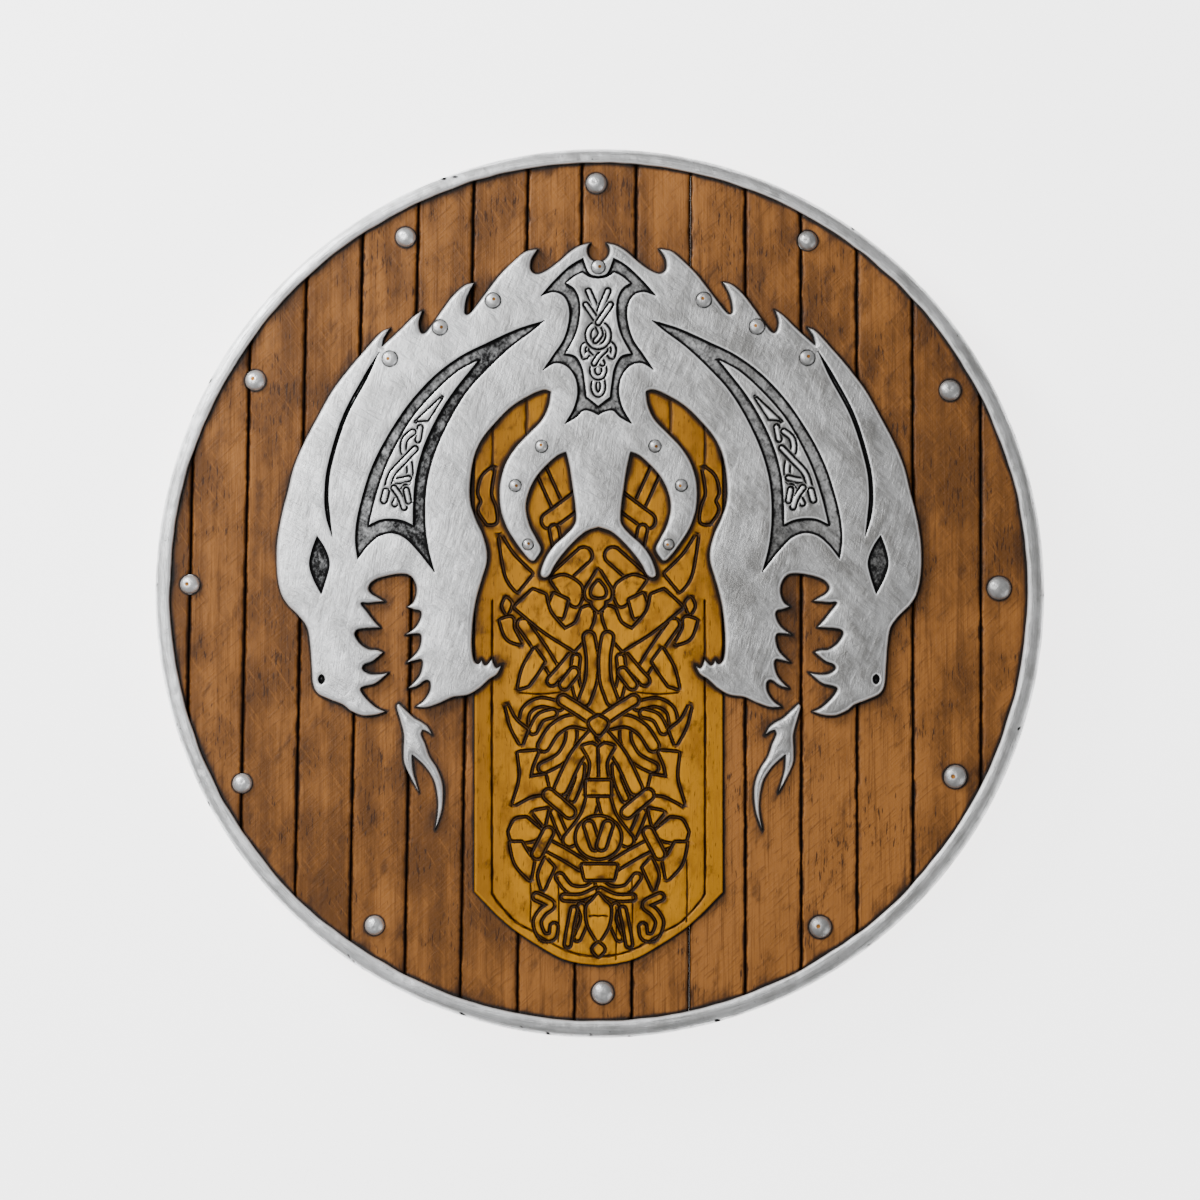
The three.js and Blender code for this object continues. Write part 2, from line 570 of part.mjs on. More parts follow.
function interlace() {
  let cut = rod(1, PANEL_Z + 5, PANEL_Z + 6);
  for (const band of BANDS) {
    cut = drawBand(cut, band);
    cut = drawBand(cut, { ...band, line: flip(band.line) });
  }
  for (const leaf of LEAVES) {
    cut = drawShape(cut, leaf);
    cut = drawShape(cut, leaf.map(flip));
  }
  cut = drawShape(cut, bothHalves(HEAD));
  cut = drawShape(cut, circleRuns(BODY_RING.y, BODY_RING.radius, BODY_RING.radius));
  cut = drawShape(cut, circleRuns(BODY_RING.y, BODY_RING.eye, BODY_RING.eye + 3));
  for (const { top, foot, half } of COLLARS) {
    cut = drawShape(cut, bothHalves([[[0, top], [-half, top]], [[-half, top], [-half, foot]],
      [[-half, foot], [0, foot]]]));
  }
  return drawShape(cut, bothHalves(MASK));
}

function borderGroove() {
  const reach = GROOVE_WIDTH / 2;
  const line = joinRuns([[[-BORDER_X, BORDER_TOP_Y], [-BORDER_X, -207]],
    [[-BORDER_X, -207], [-69, -213], [-57, -226], [-44, -233.5], [-28, -243.2], [-14, -248.5], [0, -250.3]]]);
  const whole = mirrorHalf(line);
  const outer = offsetOutline(whole, reach);
  const inner = offsetOutline(whole, -reach);
  const floor = PANEL_Z - GROOVE_DEPTH;
  const topless = BORDER_TOP_Y - reach;
  const cover = [[-BORDER_X - 9, topless], [BORDER_X + 9, topless], [BORDER_X + 9, topless + 9],
    [-BORDER_X - 9, topless + 9]].map(point);
  const ring = prism(outer, floor, PANEL_Z + 1).subtract(prism(inner, floor - 1, PANEL_Z + 2));
  return ring.subtract(prism(cover, floor - 1, PANEL_Z + 2));
}

function addPanel() {
  const board = prism(panelOutline(), FACE_Z, PANEL_Z);
  const carved = board.subtract(interlace()).subtract(borderGroove());
  addPiece('carved_panel', toGeometry(carved), oldGold);
}

// ---- the back ----
const BATTEN = { halfLength: 220, halfWidth: 20, y: 130 };
const STRAPS = [
  { name: 'hand_grip', x: 80, width: 28 },
  { name: 'arm_strap', x: -80, width: 40 },
];
const STRAP_THICKNESS = 3;
const STRAP_HALF_LENGTH = 102;
const STRAP_END_Y = 92;
const STRAP_SLACK = 17;
const STRAP_SCREW_RADIUS = 1.5;
const STRAP_SCREW_DEPTH = 6;
const STRAP_SCREW_HEAD = { radius: 6, height: 2.5 };

function strapEnds() {
  return STRAPS.flatMap(({ name, x }) => [{ x, y: STRAP_END_Y, name: `${name}_top` },
    { x, y: -STRAP_END_Y, name: `${name}_foot` }]);
}

function addBattens() {
  const { halfLength, halfWidth, y } = BATTEN;
  const corner = 4;
  const half = [[-halfLength + corner, -halfWidth], [-halfLength, -halfWidth + corner],
    [-halfLength, halfWidth - corner], [-halfLength + corner, halfWidth]];
  for (const [name, side] of [['batten_top', 1], ['batten_foot', -1]]) {
    const outline = mirrorHalf(half.map(([x, off]) => new THREE.Vector2(x, y * side + off)));
    addPiece(name, toGeometry(prism(outline, 0, BACK_Z)), palerWood);
  }
}

// A strap lies flat on the boards at its ends and bows away from them between its screws.
function addStraps() {
  const bow = (y) => {
    const free = STRAP_END_Y - 16;
    const share = Math.min(1, Math.max(0, 1 - Math.abs(y) / free));
    return STRAP_SLACK * Math.min(1, 1.6 * share * share * (3 - 2 * share));
  };
  for (const { name, x, width } of STRAPS) {
    const steps = 16;
    const near = [];
    const far = [];
    for (let i = 0; i <= steps; i += 1) {
      const y = -STRAP_HALF_LENGTH + (2 * STRAP_HALF_LENGTH * i) / steps;
      near.push(new THREE.Vector2(y, BACK_Z - bow(y)));
      far.push(new THREE.Vector2(y, BACK_Z - bow(y) - STRAP_THICKNESS));
    }
    const section = new THREE.Shape([...far, ...near.reverse()]);
    const strap = new THREE.ExtrudeGeometry(section, { depth: width, bevelEnabled: false, steps: 1 });
    const axes = new THREE.Matrix4().makeBasis(new THREE.Vector3(0, 1, 0), new THREE.Vector3(0, 0, 1),
      new THREE.Vector3(1, 0, 0));
    strap.applyMatrix4(axes.setPosition(x - width / 2, 0, 0));
    let solid = toSolid(strap);
    for (const side of [1, -1]) {
      const hole = rod(STRAP_SCREW_RADIUS + CLEARANCE, BACK_Z - 8, BACK_Z + 1, x, side * STRAP_END_Y, 8);
      solid = solid.subtract(hole);
    }
    addPiece(name, toGeometry(solid), brownLeather);
  }
}

function addStrapScrews() {
  const { radius, height } = STRAP_SCREW_HEAD;
  const seat = BACK_Z - STRAP_THICKNESS;
  const profile = [[0, seat - height], [radius * 0.7, seat - height * 0.7], [radius, seat],
    [STRAP_SCREW_RADIUS, seat], [STRAP_SCREW_RADIUS, BACK_Z + STRAP_SCREW_DEPTH], [0, BACK_Z + STRAP_SCREW_DEPTH]];
  for (const { x, y, name } of strapEnds()) {
    const screw = new THREE.LatheGeometry(profile.map(point), 10);
    screw.rotateX(Math.PI / 2);
    screw.translate(x, y, 0);
    addPiece(`${name}_stud`, toGeometry(toSolid(screw)), brightSilver);
  }
}

const rivets = rivetPlaces();
addBoards(rivets);
addRim();
addRivets(rivets);
addPanel();
addDragonPlate();
addStuds();
addFlames();
addBattens();
addStraps();
addStrapScrews();

export default shield;
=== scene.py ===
"""The looks of the round shield: stained boards, a worn silver rim, rivets, the gilded interlace panel,
the silver dragon plate with its flames, and the battens and leather straps behind."""
import math

import bmesh
import bpy
import numpy as np
from bpy.props import FloatProperty, FloatVectorProperty, IntProperty, PointerProperty
from mathutils import Matrix, Vector, noise
from mathutils.geometry import delaunay_2d_cdt
from mathutils.kdtree import KDTree


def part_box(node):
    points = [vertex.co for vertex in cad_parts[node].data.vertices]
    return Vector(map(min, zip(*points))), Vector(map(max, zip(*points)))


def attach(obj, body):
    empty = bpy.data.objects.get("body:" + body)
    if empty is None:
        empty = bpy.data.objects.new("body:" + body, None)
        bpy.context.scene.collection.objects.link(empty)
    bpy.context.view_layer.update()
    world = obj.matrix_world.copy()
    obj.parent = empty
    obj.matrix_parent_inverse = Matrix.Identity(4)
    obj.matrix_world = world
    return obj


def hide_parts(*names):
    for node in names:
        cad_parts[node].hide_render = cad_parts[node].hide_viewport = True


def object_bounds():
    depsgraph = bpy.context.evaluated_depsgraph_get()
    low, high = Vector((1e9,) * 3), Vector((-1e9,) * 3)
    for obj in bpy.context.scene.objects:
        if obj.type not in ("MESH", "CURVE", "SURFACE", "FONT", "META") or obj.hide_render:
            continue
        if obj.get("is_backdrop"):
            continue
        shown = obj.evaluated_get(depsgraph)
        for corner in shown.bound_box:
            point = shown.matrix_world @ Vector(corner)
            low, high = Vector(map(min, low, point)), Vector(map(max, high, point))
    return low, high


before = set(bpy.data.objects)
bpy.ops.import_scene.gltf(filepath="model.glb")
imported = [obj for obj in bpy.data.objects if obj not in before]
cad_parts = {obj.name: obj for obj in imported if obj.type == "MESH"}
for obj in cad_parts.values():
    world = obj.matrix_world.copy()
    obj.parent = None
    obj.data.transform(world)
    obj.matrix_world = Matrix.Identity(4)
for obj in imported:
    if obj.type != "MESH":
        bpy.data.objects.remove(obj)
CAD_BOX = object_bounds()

bl_info = {
    "name": "Round Shield",
    "version": (1, 0, 0),
    "blender": (4, 5, 0),
    "location": "3D View > Sidebar > Shield",
    "description": "Builds a plank shield with a silver rim, a dragon plate and a gilded interlace panel",
    "category": "Add Mesh",
}

MM = 0.001


# ---------------------------------------------------------------- sizes and colours


def linear(code):
    """A linear RGBA colour from an sRGB hex value."""
    parts = [int(code[i:i + 2], 16) / 255 for i in (1, 3, 5)]
    return tuple(c / 12.92 if c <= 0.04045 else ((c + 0.055) / 1.055) ** 2.4 for c in parts) + (1.0,)


def size(name, text, default):
    """A length that a user may change, given here in millimetres and kept in metres."""
    return FloatProperty(name=name, description=text, default=default * MM, min=0.0, unit="LENGTH", precision=5)


def colour(name, text, code):
    """A colour that a user may change."""
    return FloatVectorProperty(name=name, description=text, default=linear(code), size=4, subtype="COLOR",
                               min=0.0, max=1.0)


class WoodSettings(bpy.types.PropertyGroup):
    """The boards and battens."""
    chamfer: size("Chamfer", "Width of the worn edge beside a joint", 1.9)
    chamfer_depth: size("Chamfer depth", "Depth of the worn edge beside a joint", 2.6)
    waviness: size("Waviness", "Height of the slow waves of a board's face", 0.35)
    grain_width: size("Grain width", "Width of one streak of the grain", 1.5)
    grain_length: size("Grain length", "Length of one streak of the grain", 55.0)
    stain_light: colour("Light stain", "Where the stain has worn thin", "#A0662A")
    # Also the painted shade laid across the boards.
    dark_stain_and_shade: colour("Dark stain", "Where the stain lies thick", "#633A0C")
    # The umber and the wash also paint the shade beside the fittings.
    umber: colour("Umber", "The thin part of the dark wash, and the ticks of the grain", "#331902")
    wash_and_shade: colour("Wash", "The thick part of the dark wash, in the joints and beside the fittings", "#150A04")


class MetalSettings(bpy.types.PropertyGroup):
    """The rim, plate, flames, rivets and studs."""
    edge: size("Rounded edge", "Radius of the plate's upper edge", 2.6)
    channel_depth: size("Channel depth", "Depth of the sunk crescents", 2.0)
    dent_depth: size("Dent depth", "Depth of the hammer marks", 0.34)
    dent_width: size("Dent width", "Width of the hammer marks", 17.0)
    silver: colour("Silver", "The rubbed metal", "#F1F2F3")
    # Also painted shade, more of it to the right.
    tarnish_and_shade: colour("Tarnish", "The metal where it has dulled", "#908F8D")
    scratch: colour("Scratch", "The metal in a scratch", "#6E7073")
    # Also painted shade in the sunk parts, at their walls and round the feet of the domes.
    wash_and_shade: colour("Wash", "Dark wash in the sunk parts", "#060607")
    pit: colour("Pit", "Ground that shows in the pits of the domes", "#8E5F2C")


class GildingSettings(bpy.types.PropertyGroup):
    """The carved panel."""
    groove: size("Groove width", "Width of the carved grooves", 3.0)
    groove_depth: size("Groove depth", "Depth of the carved grooves", 1.3)
    edge: size("Rounded edge", "Radius of the panel's upper edge", 1.3)
    gold: colour("Gold", "The gilding where it is rubbed", "#CD8B0E")
    # Also a painted shadow of the plate towards the top of the panel.
    dull_gold_and_shade: colour("Dull gold", "The gilding where it is dull", "#875607")
    umber: colour("Umber", "The thin part of the dark wash", "#371C02")
    # Also painted shade along the grooves and beside the plate.
    wash_and_shade: colour("Wash", "The thick part of the dark wash, along the grooves", "#1A0B01")


class StageSettings(bpy.types.PropertyGroup):
    """The floor, the lights and the camera."""
    camera_distance: size("Camera distance", "From the camera to the face of the shield", 2600.0)
    key: FloatProperty(name="Key light", description="Strength of the low key light", default=36.0, min=0.0,
                       unit="POWER")
    sky: FloatProperty(name="Sky", description="Strength of the even light from all round", default=0.3, min=0.0)
    soft_box: FloatProperty(name="Soft box", description="Strength of the broad light overhead", default=31.0,
                            min=0.0, unit="POWER")
    floor: colour("Floor", "Colour of the floor", "#F7F7F7")
    glow: FloatProperty(name="Glow", description="Light of the floor itself, as a lit white sweep has", default=3.4,
                        min=0.0)


class ShieldSettings(bpy.types.PropertyGroup):
    """All the settings of the shield."""
    wood: PointerProperty(type=WoodSettings, name="Wood", description="The boards and battens")
    metal: PointerProperty(type=MetalSettings, name="Metal", description="The silver pieces")
    gilding: PointerProperty(type=GildingSettings, name="Gilding", description="The carved panel")
    stage: PointerProperty(type=StageSettings, name="Stage", description="The floor, lights and camera")
    seed: IntProperty(name="Seed", description="Changes every random mark", default=7, min=0)


# ---------------------------------------------------------------- heights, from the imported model


def top_of(node):
    """The height of a solid's top, in millimetres."""
    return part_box(node)[1][2] / MM


def foot_of(node):
    """The height of a solid's foot, in millimetres."""
    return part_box(node)[0][2] / MM


SHIELD_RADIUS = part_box("rim")[1][0] / MM
BACK_Z = foot_of("board_08")
FACE_Z = top_of("board_08")
PANEL_Z = top_of("carved_panel")
PLATE_Z = top_of("dragon_plate")
RIM_INNER = SHIELD_RADIUS - 11


# ---------------------------------------------------------------- outlines, in millimetres

# Left half of the dragon plate, from the notch at the top round to the fork: each run ends at a corner. The lip is
# the angle at which the notch ends, in degrees from its top.
NOTCH = {"y": 235, "radius": 7.5, "lip": 42}
CREST_RUNS = [
    [(-5.02, 240.57), (-12, 239), (-19, 235), (-27, 228), (-35, 222), (-42, 219.2), (-46.3, 222), (-46, 229),
     (-41.5, 236.3)],
    [(-41.5, 236.3), (-50, 234.8), (-58, 228.5), (-68, 218.5), (-78, 205.5), (-86, 195), (-89.8, 191.3),
     (-92, 193), (-90.5, 203), (-85.3, 213.3)],
    [(-85.3, 213.3), (-92, 211.5), (-100, 204.5), (-108, 194), (-115, 184), (-119.5, 178.5), (-122.5, 179.5),
     (-123.5, 186), (-121, 194.3)],
    [(-121, 194.3), (-127.5, 190), (-136, 181.5), (-143, 175), (-149, 169.5)],
    [(-149, 169.5), (-147.5, 175.5), (-143.3, 182)],
    [(-143.3, 182), (-150, 179), (-160, 168), (-172, 154), (-184, 138), (-194, 120), (-203, 103), (-210, 86),
     (-214, 70), (-218.5, 52), (-221.5, 33), (-221.5, 14), (-219, 0), (-214, -9), (-206.5, -16.5),
     (-200.5, -25), (-198.5, -37), (-197.5, -50), (-196.5, -63), (-193, -70), (-185, -74), (-176, -77.5),
     (-170, -82), (-162, -85.2), (-153, -84.6), (-146, -82.2)],
]
MOUTH_RUNS = [
    [(-146, -82.2), (-153, -79), (-160, -72.5), (-163.5, -67), (-161, -65), (-153, -62.8), (-144, -55.3)],
    [(-144, -55.3), (-150, -56.3), (-157, -56.2), (-162, -53.2), (-161, -50), (-155, -47.6), (-147.8, -41.5)],
    [(-147.8, -41.5), (-152, -39.7), (-158, -39.2), (-164, -35), (-167.6, -28.6), (-164, -25.6),
     (-149.7, -24.6)],
    [(-149.7, -24.6), (-154, -20), (-159, -13.5), (-163.3, -7.6), (-158, -7.6), (-146.8, -6.6)],
    [(-146.8, -6.6), (-151, -4), (-156.5, -0.5), (-158, 3.5), (-154, 8), (-145, 11), (-135, 12.3),
     (-129, 10.6), (-125.7, 5), (-125.3, -1), (-127.5, -7), (-131.7, -10.3)],
    [(-131.7, -10.3), (-126.5, -12.3), (-122.3, -13.4), (-122.3, -18), (-126, -24.3), (-133.2, -29.7)],
    [(-133.2, -29.7), (-127, -29), (-122.5, -29.2), (-122, -34), (-124.5, -41), (-132.3, -48.8)],
    [(-132.3, -48.8), (-126, -47.3), (-121.4, -46.8), (-121.2, -52), (-124, -59), (-131.3, -66.5)],
    [(-131.3, -66.5), (-125, -65), (-119, -61), (-115.8, -62), (-116, -68), (-120, -74.5), (-126, -79)],
]
JAW_RUNS = [
    [(-126, -79), (-118, -79.4), (-109, -76.5), (-100, -72.5), (-90, -71), (-82, -66.5), (-75, -60.3),
     (-69.5, -56.5), (-66.3, -50)],
    [(-66.3, -50), (-70.3, -52), (-73, -45.8)],
    [(-73, -45.8), (-77.5, -50.4), (-80.2, -46.5)],
    [(-80.2, -46.5), (-82.5, -49.3), (-85.5, -46.5), (-86.8, -36), (-86, -20), (-83.7, -5), (-79.5, 10),
     (-76.6, 20), (-76.5, 29), (-79.5, 40), (-84, 50), (-87.8, 62), (-88, 76), (-85.5, 92), (-80.5, 104),
     (-72, 115), (-60, 127), (-47, 135), (-38, 138.6), (-33, 137.6)],
    [(-33, 137.6), (-34.5, 128), (-39, 118.5), (-48, 109), (-57, 99.5), (-64, 88), (-67.8, 74), (-67.5, 58),
     (-63, 44), (-56, 32.5), (-49, 23.5), (-45.2, 20.9), (-42.5, 23), (-39.2, 29.5), (-42.5, 37), (-47, 46),
     (-49.5, 58), (-47.5, 69), (-42.5, 79), (-35, 87.5), (-28, 93.5), (-22.3, 95.8)],
    [(-22.3, 95.8), (-20, 86), (-18, 73), (-16.2, 60), (-15.6, 50), (-17.5, 44.8), (-23, 38.8), (-30, 32.5),
     (-35.5, 25), (-39, 17), (-39.8, 11.6), (-37, 9.4), (-33.4, 11.5), (-30, 18), (-25, 25), (-18, 33),
     (-9, 41), (0, 44.2)],
]
# What is sunk into the plate, and what is left standing in it.
CRESCENT_RUNS = [
    [(-37, 186.5), (-55, 181), (-75, 172), (-95, 162), (-113, 148.5), (-130, 130), (-145, 107.5), (-155, 88),
     (-161.5, 69), (-166, 50), (-167.2, 35), (-165.5, 22.5)],
    [(-165.5, 22.5), (-159, 31), (-151, 38), (-142, 40.3), (-133, 37), (-124, 28), (-112.5, 13.5)],
    [(-112.5, 13.5), (-117, 31), (-119, 50), (-118, 73), (-112.5, 95), (-102, 118.5), (-90, 138),
     (-76, 153.5), (-60, 168.5), (-46, 179), (-37, 186.5)],
]
LEAF_RUNS = [
    [(-82.5, 159.5), (-97, 151.5), (-112, 138), (-127, 121), (-138, 103), (-147, 84), (-153.5, 64),
     (-157.8, 46)],
    [(-157.8, 46), (-150, 49.6), (-142, 50.3), (-134, 49), (-127.5, 46)],
    [(-127.5, 46), (-127.2, 62), (-125.5, 80), (-120.5, 99), (-112, 118), (-101, 136), (-82.5, 159.5)],
]
EYE_RUNS = [
    [(-193.5, 38.5), (-188, 30), (-184.8, 20), (-187, 9), (-190.5, -1.5)],
    [(-190.5, -1.5), (-196, 9), (-198.8, 19), (-197, 29), (-193.5, 38.5)],
]
NOSTRIL_RUNS = [
    [(-190.3, -56.6), (-192, -57.8), (-192.6, -60.2), (-191.8, -62.4), (-190.3, -63.4)],
    [(-190.3, -63.4), (-188.7, -62.4), (-188, -60), (-188.6, -57.8), (-190.3, -56.6)],
]
FIN_LINE_RUNS = [
    [(-151, 165), (-161, 149.3), (-176, 120.8), (-186, 88), (-188.4, 68), (-187.3, 52), (-183, 38)],
    [(-183, 38), (-184.6, 52), (-185.7, 68), (-183.3, 88), (-173.5, 119.5), (-158.8, 147.5), (-151, 165)],
]
CARTOUCHE_RUNS = [
    [(0, 217), (-5, 218.2), (-7.8, 222), (-10.5, 229.7)],
    [(-10.5, 229.7), (-20, 224), (-31, 213.5), (-39.5, 203.7)],
    [(-39.5, 203.7), (-31, 206.3), (-24, 203.5), (-20.3, 196), (-20.3, 186), (-24, 173.5), (-31, 163),
     (-38, 152.5)],
    [(-38, 152.5), (-30, 157.2), (-22, 155.3), (-16, 147.5), (-14.3, 137), (-17, 126), (-23, 115.5)],
    [(-23, 115.5), (-15, 120), (-10.2, 124.5), (-5, 124), (0, 121.5)],
]
SHIELDLET_RUNS = [
    [(0, 215.5), (-6, 216.6), (-11, 219.8)],
    [(-11, 219.8), (-16.5, 217), (-22, 212.3)],
    [(-22, 212.3), (-16.5, 208.5), (-13, 201), (-12.6, 190), (-15.5, 177), (-22.5, 163.8)],
    [(-22.5, 163.8), (-15.5, 161.8), (-11, 154), (-9.2, 144), (-8, 134)],
    [(-8, 134), (-4.5, 131.3), (0, 127.7)],
]
FLAME_RUNS = [
    [(-137.3, -76.5), (-139, -79), (-136.5, -88), (-134, -98), (-134.2, -108), (-134, -116), (-132, -122),
     (-128, -130), (-123, -138.5)],
    [(-123, -138.5), (-125.5, -130), (-127.5, -122), (-128.2, -112)],
    [(-128.2, -112), (-124, -115.5), (-119, -120.5), (-113.5, -129), (-111, -139), (-110.5, -150),
     (-112.5, -164)],
    [(-112.5, -164), (-108, -152), (-106.6, -140), (-107.5, -130), (-111, -121), (-116, -113),
     (-119, -104.5), (-121.8, -98), (-121, -95)],
    [(-121, -95), (-118, -96), (-114.2, -98.5)],
    [(-114.2, -98.5), (-117, -93), (-121.5, -89.3), (-126.5, -86.5), (-131.5, -82), (-137.3, -76.5)],
]
PANEL_SIDE = 85.5
PANEL_RUNS = [
    [(0, 150), (-50, 142)],
    [(-50, 142), (-PANEL_SIDE, 112)],
    [(-PANEL_SIDE, 112), (-PANEL_SIDE, -206)],
    [(-PANEL_SIDE, -206), (-70, -222)],
    [(-70, -222), (-56, -233.5), (-30, -249.5), (-15, -254.6), (0, -256.3)],
]


def smooth_run(points, step=1.0):
    """A smooth line through its points, as an array of places about one step apart."""
    p = np.array(points, float)
    p = np.vstack([p[:1], p, p[-1:]])
    t = np.linspace(0, 1, 24, endpoint=False)[:, None]
    parts = []
    for a, b, c, d in zip(p, p[1:], p[2:], p[3:]):
        u, v = (c - a) / 2, (d - b) / 2
        parts.append((2 * b - 2 * c + u + v) * t**3 + (-3 * b + 3 * c - 2 * u - v) * t**2 + u * t + b)
    line = np.vstack(parts + [p[-1:]])
    along = np.concatenate([[0], np.cumsum(np.linalg.norm(np.diff(line, axis=0), axis=1))])
    even = np.linspace(0, along[-1], max(2, round(along[-1] / step) + 1))
    return np.column_stack([np.interp(even, along, line[:, i]) for i in (0, 1)])


def join_runs(runs, step=1.0):
    """Runs joined end to end, each corner kept once."""
    parts = [smooth_run(run, step) for run in runs]
    return np.vstack([part[:-1] for part in parts] + [parts[-1][-1:]])


def closed(runs, step=1.0):
    """A closed outline from runs that come back to their start."""
    return join_runs(runs, step)[:-1]


def flip(places):
    """The mirror image across the middle line."""
    return np.asarray(places, float) * (-1, 1)


def both_halves(half):
    """A closed outline from its left half, which starts and ends on the middle line."""
    return np.vstack([half, flip(half[1:-1])[::-1]])


def two_sides(runs, step=1.0):
    """The closed outline on the left and its mirror image, both turning the same way."""
    left = closed(runs, step)
    return [left, flip(left)[::-1]]


def compass(turns):
    """Places at angles round the origin, a millimetre from it."""
    return np.column_stack([np.cos(turns), np.sin(turns)])


def circles(x, y, radii, density):
    """Rows of places on circles about a centre, so many to a millimetre of radius."""
    return [(x, y) + r * compass(np.linspace(0, 2 * math.pi, round(density * r), endpoint=False)) for r in radii]


def plate_outline():
    """The dragon plate, from the round notch at its top."""
    notch = NOTCH["radius"] * compass(np.radians(np.arange(270, 90 + NOTCH["lip"] - 1, -4.0))) + (0, NOTCH["y"])
    half = np.vstack([notch, join_runs(CREST_RUNS + MOUTH_RUNS + JAW_RUNS)[1:]])
    half[0, 0] = half[-1, 0] = 0
    return both_halves(half)


def panel_outline():
    return both_halves(join_runs(PANEL_RUNS))


# ---------------------------------------------------------------- distances


def nearest(at, line):
    """For each place, which of a line's places is nearest, and how far off it is."""
    tree = KDTree(len(line))
    for i, (x, y) in enumerate(line):
        tree.insert((x, y, 0), i)
    tree.balance()
    found = [tree.find((x, y, 0)) for x, y in at]
    return np.array([each[1] for each in found], int), np.array([each[2] for each in found])


def distance(at, line, loop=False):
    """How far each place is from a line of close places, and from a closed outline if it is a loop."""
    if len(at) == 0:
        return np.zeros(0)
    i, off = nearest(at, line)
    last = len(line) - 1
    for step in (-1, 1):
        other = (i + step) % len(line) if loop else np.clip(i + step, 0, last)
        run = line[other] - line[i]
        share = ((at - line[i]) * run).sum(1) / np.maximum((run**2).sum(1), 1e-12)
        foot = line[i] + np.clip(share, 0, 1)[:, None] * run
        off = np.minimum(off, np.hypot(*(at - foot).T))
    return off


def inside(at, loop):
    """Which places lie inside a closed outline."""
    found = np.zeros(len(at), bool)
    ends = np.roll(loop, -1, axis=0)
    for chunk in range(0, len(at), 4000):
        p = at[chunk:chunk + 4000]
        x, y = p[:, :1], p[:, 1:]
        crosses = (loop[:, 1] > y) != (ends[:, 1] > y)
        rise = np.where(ends[:, 1] == loop[:, 1], 1e-9, ends[:, 1] - loop[:, 1])
        left = x < loop[:, 0] + (y - loop[:, 1]) * (ends[:, 0] - loop[:, 0]) / rise
        found[chunk:chunk + 4000] = (crosses & left).sum(1) % 2 == 1
    return found


def depth_inside(at, loop, reach=1e9):
    """How far each place lies inside a closed outline, below zero where it is outside."""
    low, high = loop.min(0) - reach, loop.max(0) + reach
    near = ((at >= low) & (at <= high)).all(1)
    deep = np.full(len(at), -1e3)
    deep[near] = distance(at[near], loop, True) * np.where(inside(at[near], loop), 1, -1)
    return deep


def beside(line, offset, loop=False):
    """The line moved sideways, to its left for an offset above zero."""
    before = np.roll(line, 1, axis=0) if loop else np.vstack([line[:1], line[:-1]])
    after = np.roll(line, -1, axis=0) if loop else np.vstack([line[1:], line[-1:]])
    along = after - before
    along /= np.maximum(np.linalg.norm(along, axis=1, keepdims=True), 1e-9)
    return line + offset * np.column_stack([-along[:, 1], along[:, 0]])


def both_sides(lines, offsets, loop=True):
    """Every line moved to both its sides by each offset."""
    return [beside(line, side * offset, loop) for line in lines for offset in offsets for side in (1, -1)]


def ease(x):
    """From 0 to 1 as x does, slow at both ends."""
    x = np.clip(x, 0, 1)
    return x * x * (3 - 2 * x)


def quarter_round(x):
    """From 0 to 1 as x does, along a quarter of a circle that starts upright."""
    return np.sqrt(np.clip(1 - (1 - np.clip(x, 0, 1)) ** 2, 0, 1))


def hump(x, middle, width):
    """1 in the middle, fading to both sides over a width."""
    return np.exp(-((x - middle) / width) ** 2)


def spot(at, x, y, across, along):
    """1 at a place, fading round it over a width and a length."""
    return np.exp(-((at[:, 0] - x) / across) ** 2 - ((at[:, 1] - y) / along) ** 2)


def ripple(at, width, seed=0.0):
    """Smooth noise between about -1 and 1, at places in millimetres, with waves of a width."""
    across, along = width if isinstance(width, tuple) else (width, width)
    return np.array([noise.noise(Vector((x / across, y / along, seed))) for x, y in at])


def swell(at, width, seed):
    """Smooth noise between about 0 and 1."""
    return 0.5 + 0.5 * ripple(at, width, seed)


# ---------------------------------------------------------------- carved marks


class Mark:
    """One carved shape: a band along a line, or a patch inside a closed outline, with a groove round it."""

    def __init__(self, line, width=0.0, loop=False):
        self.line = np.asarray(line, float)
        self.width = width
        self.loop = loop

    def outside(self, at):
        """How far each place lies outside of the shape, below zero within it."""
        if self.loop and not self.width:
            return -depth_inside(at, self.line)
        return distance(at, self.line, self.loop) - self.width / 2

    def rows(self, offsets):
        """Places along the shape's edges, at offsets outwards from them."""
        for offset in offsets:
            reach = self.width / 2 + offset
            for side in (1, -1):
                yield beside(self.line, side * reach, self.loop)
            if not self.loop:
                for end, start in ((self.line[0], self.line[1]), (self.line[-1], self.line[-2])):
                    ahead = math.atan2(*(end - start)[::-1])
                    yield end + reach * compass(ahead + np.linspace(-1.3, 1.3, max(3, round(reach * 2.6))))

    def flipped(self):
        return Mark(flip(self.line), self.width, self.loop)


MARK_STEP = 0.9  # from one place of a mark's line to the next


def band(points, width):
    return Mark(smooth_run(points, MARK_STEP), width)


def ring(y, across, along, width=0.0):
    """An upright ellipse on the middle line: a band, or a patch if it has no width."""
    turns = np.linspace(0, 2 * math.pi, max(16, round(5 * (across + along))), endpoint=False)
    return Mark((0, y) + (across, along) * compass(turns), width, True)


def patch(*runs):
    """A closed patch of smooth runs: each goes on from the end of the last, and the patch closes on its start."""
    joined = [list(runs[0])]
    for run in runs[1:]:
        joined.append([joined[-1][-1], *run])
    if joined[-1][-1] != joined[0][0]:
        joined.append([joined[-1][-1], joined[0][0]])
    return Mark(closed(joined, MARK_STEP), 0.0, True)


def with_mirror(marks):
    """Each mark and then its mirror image."""
    return [each for mark in marks for each in (mark, mark.flipped())]


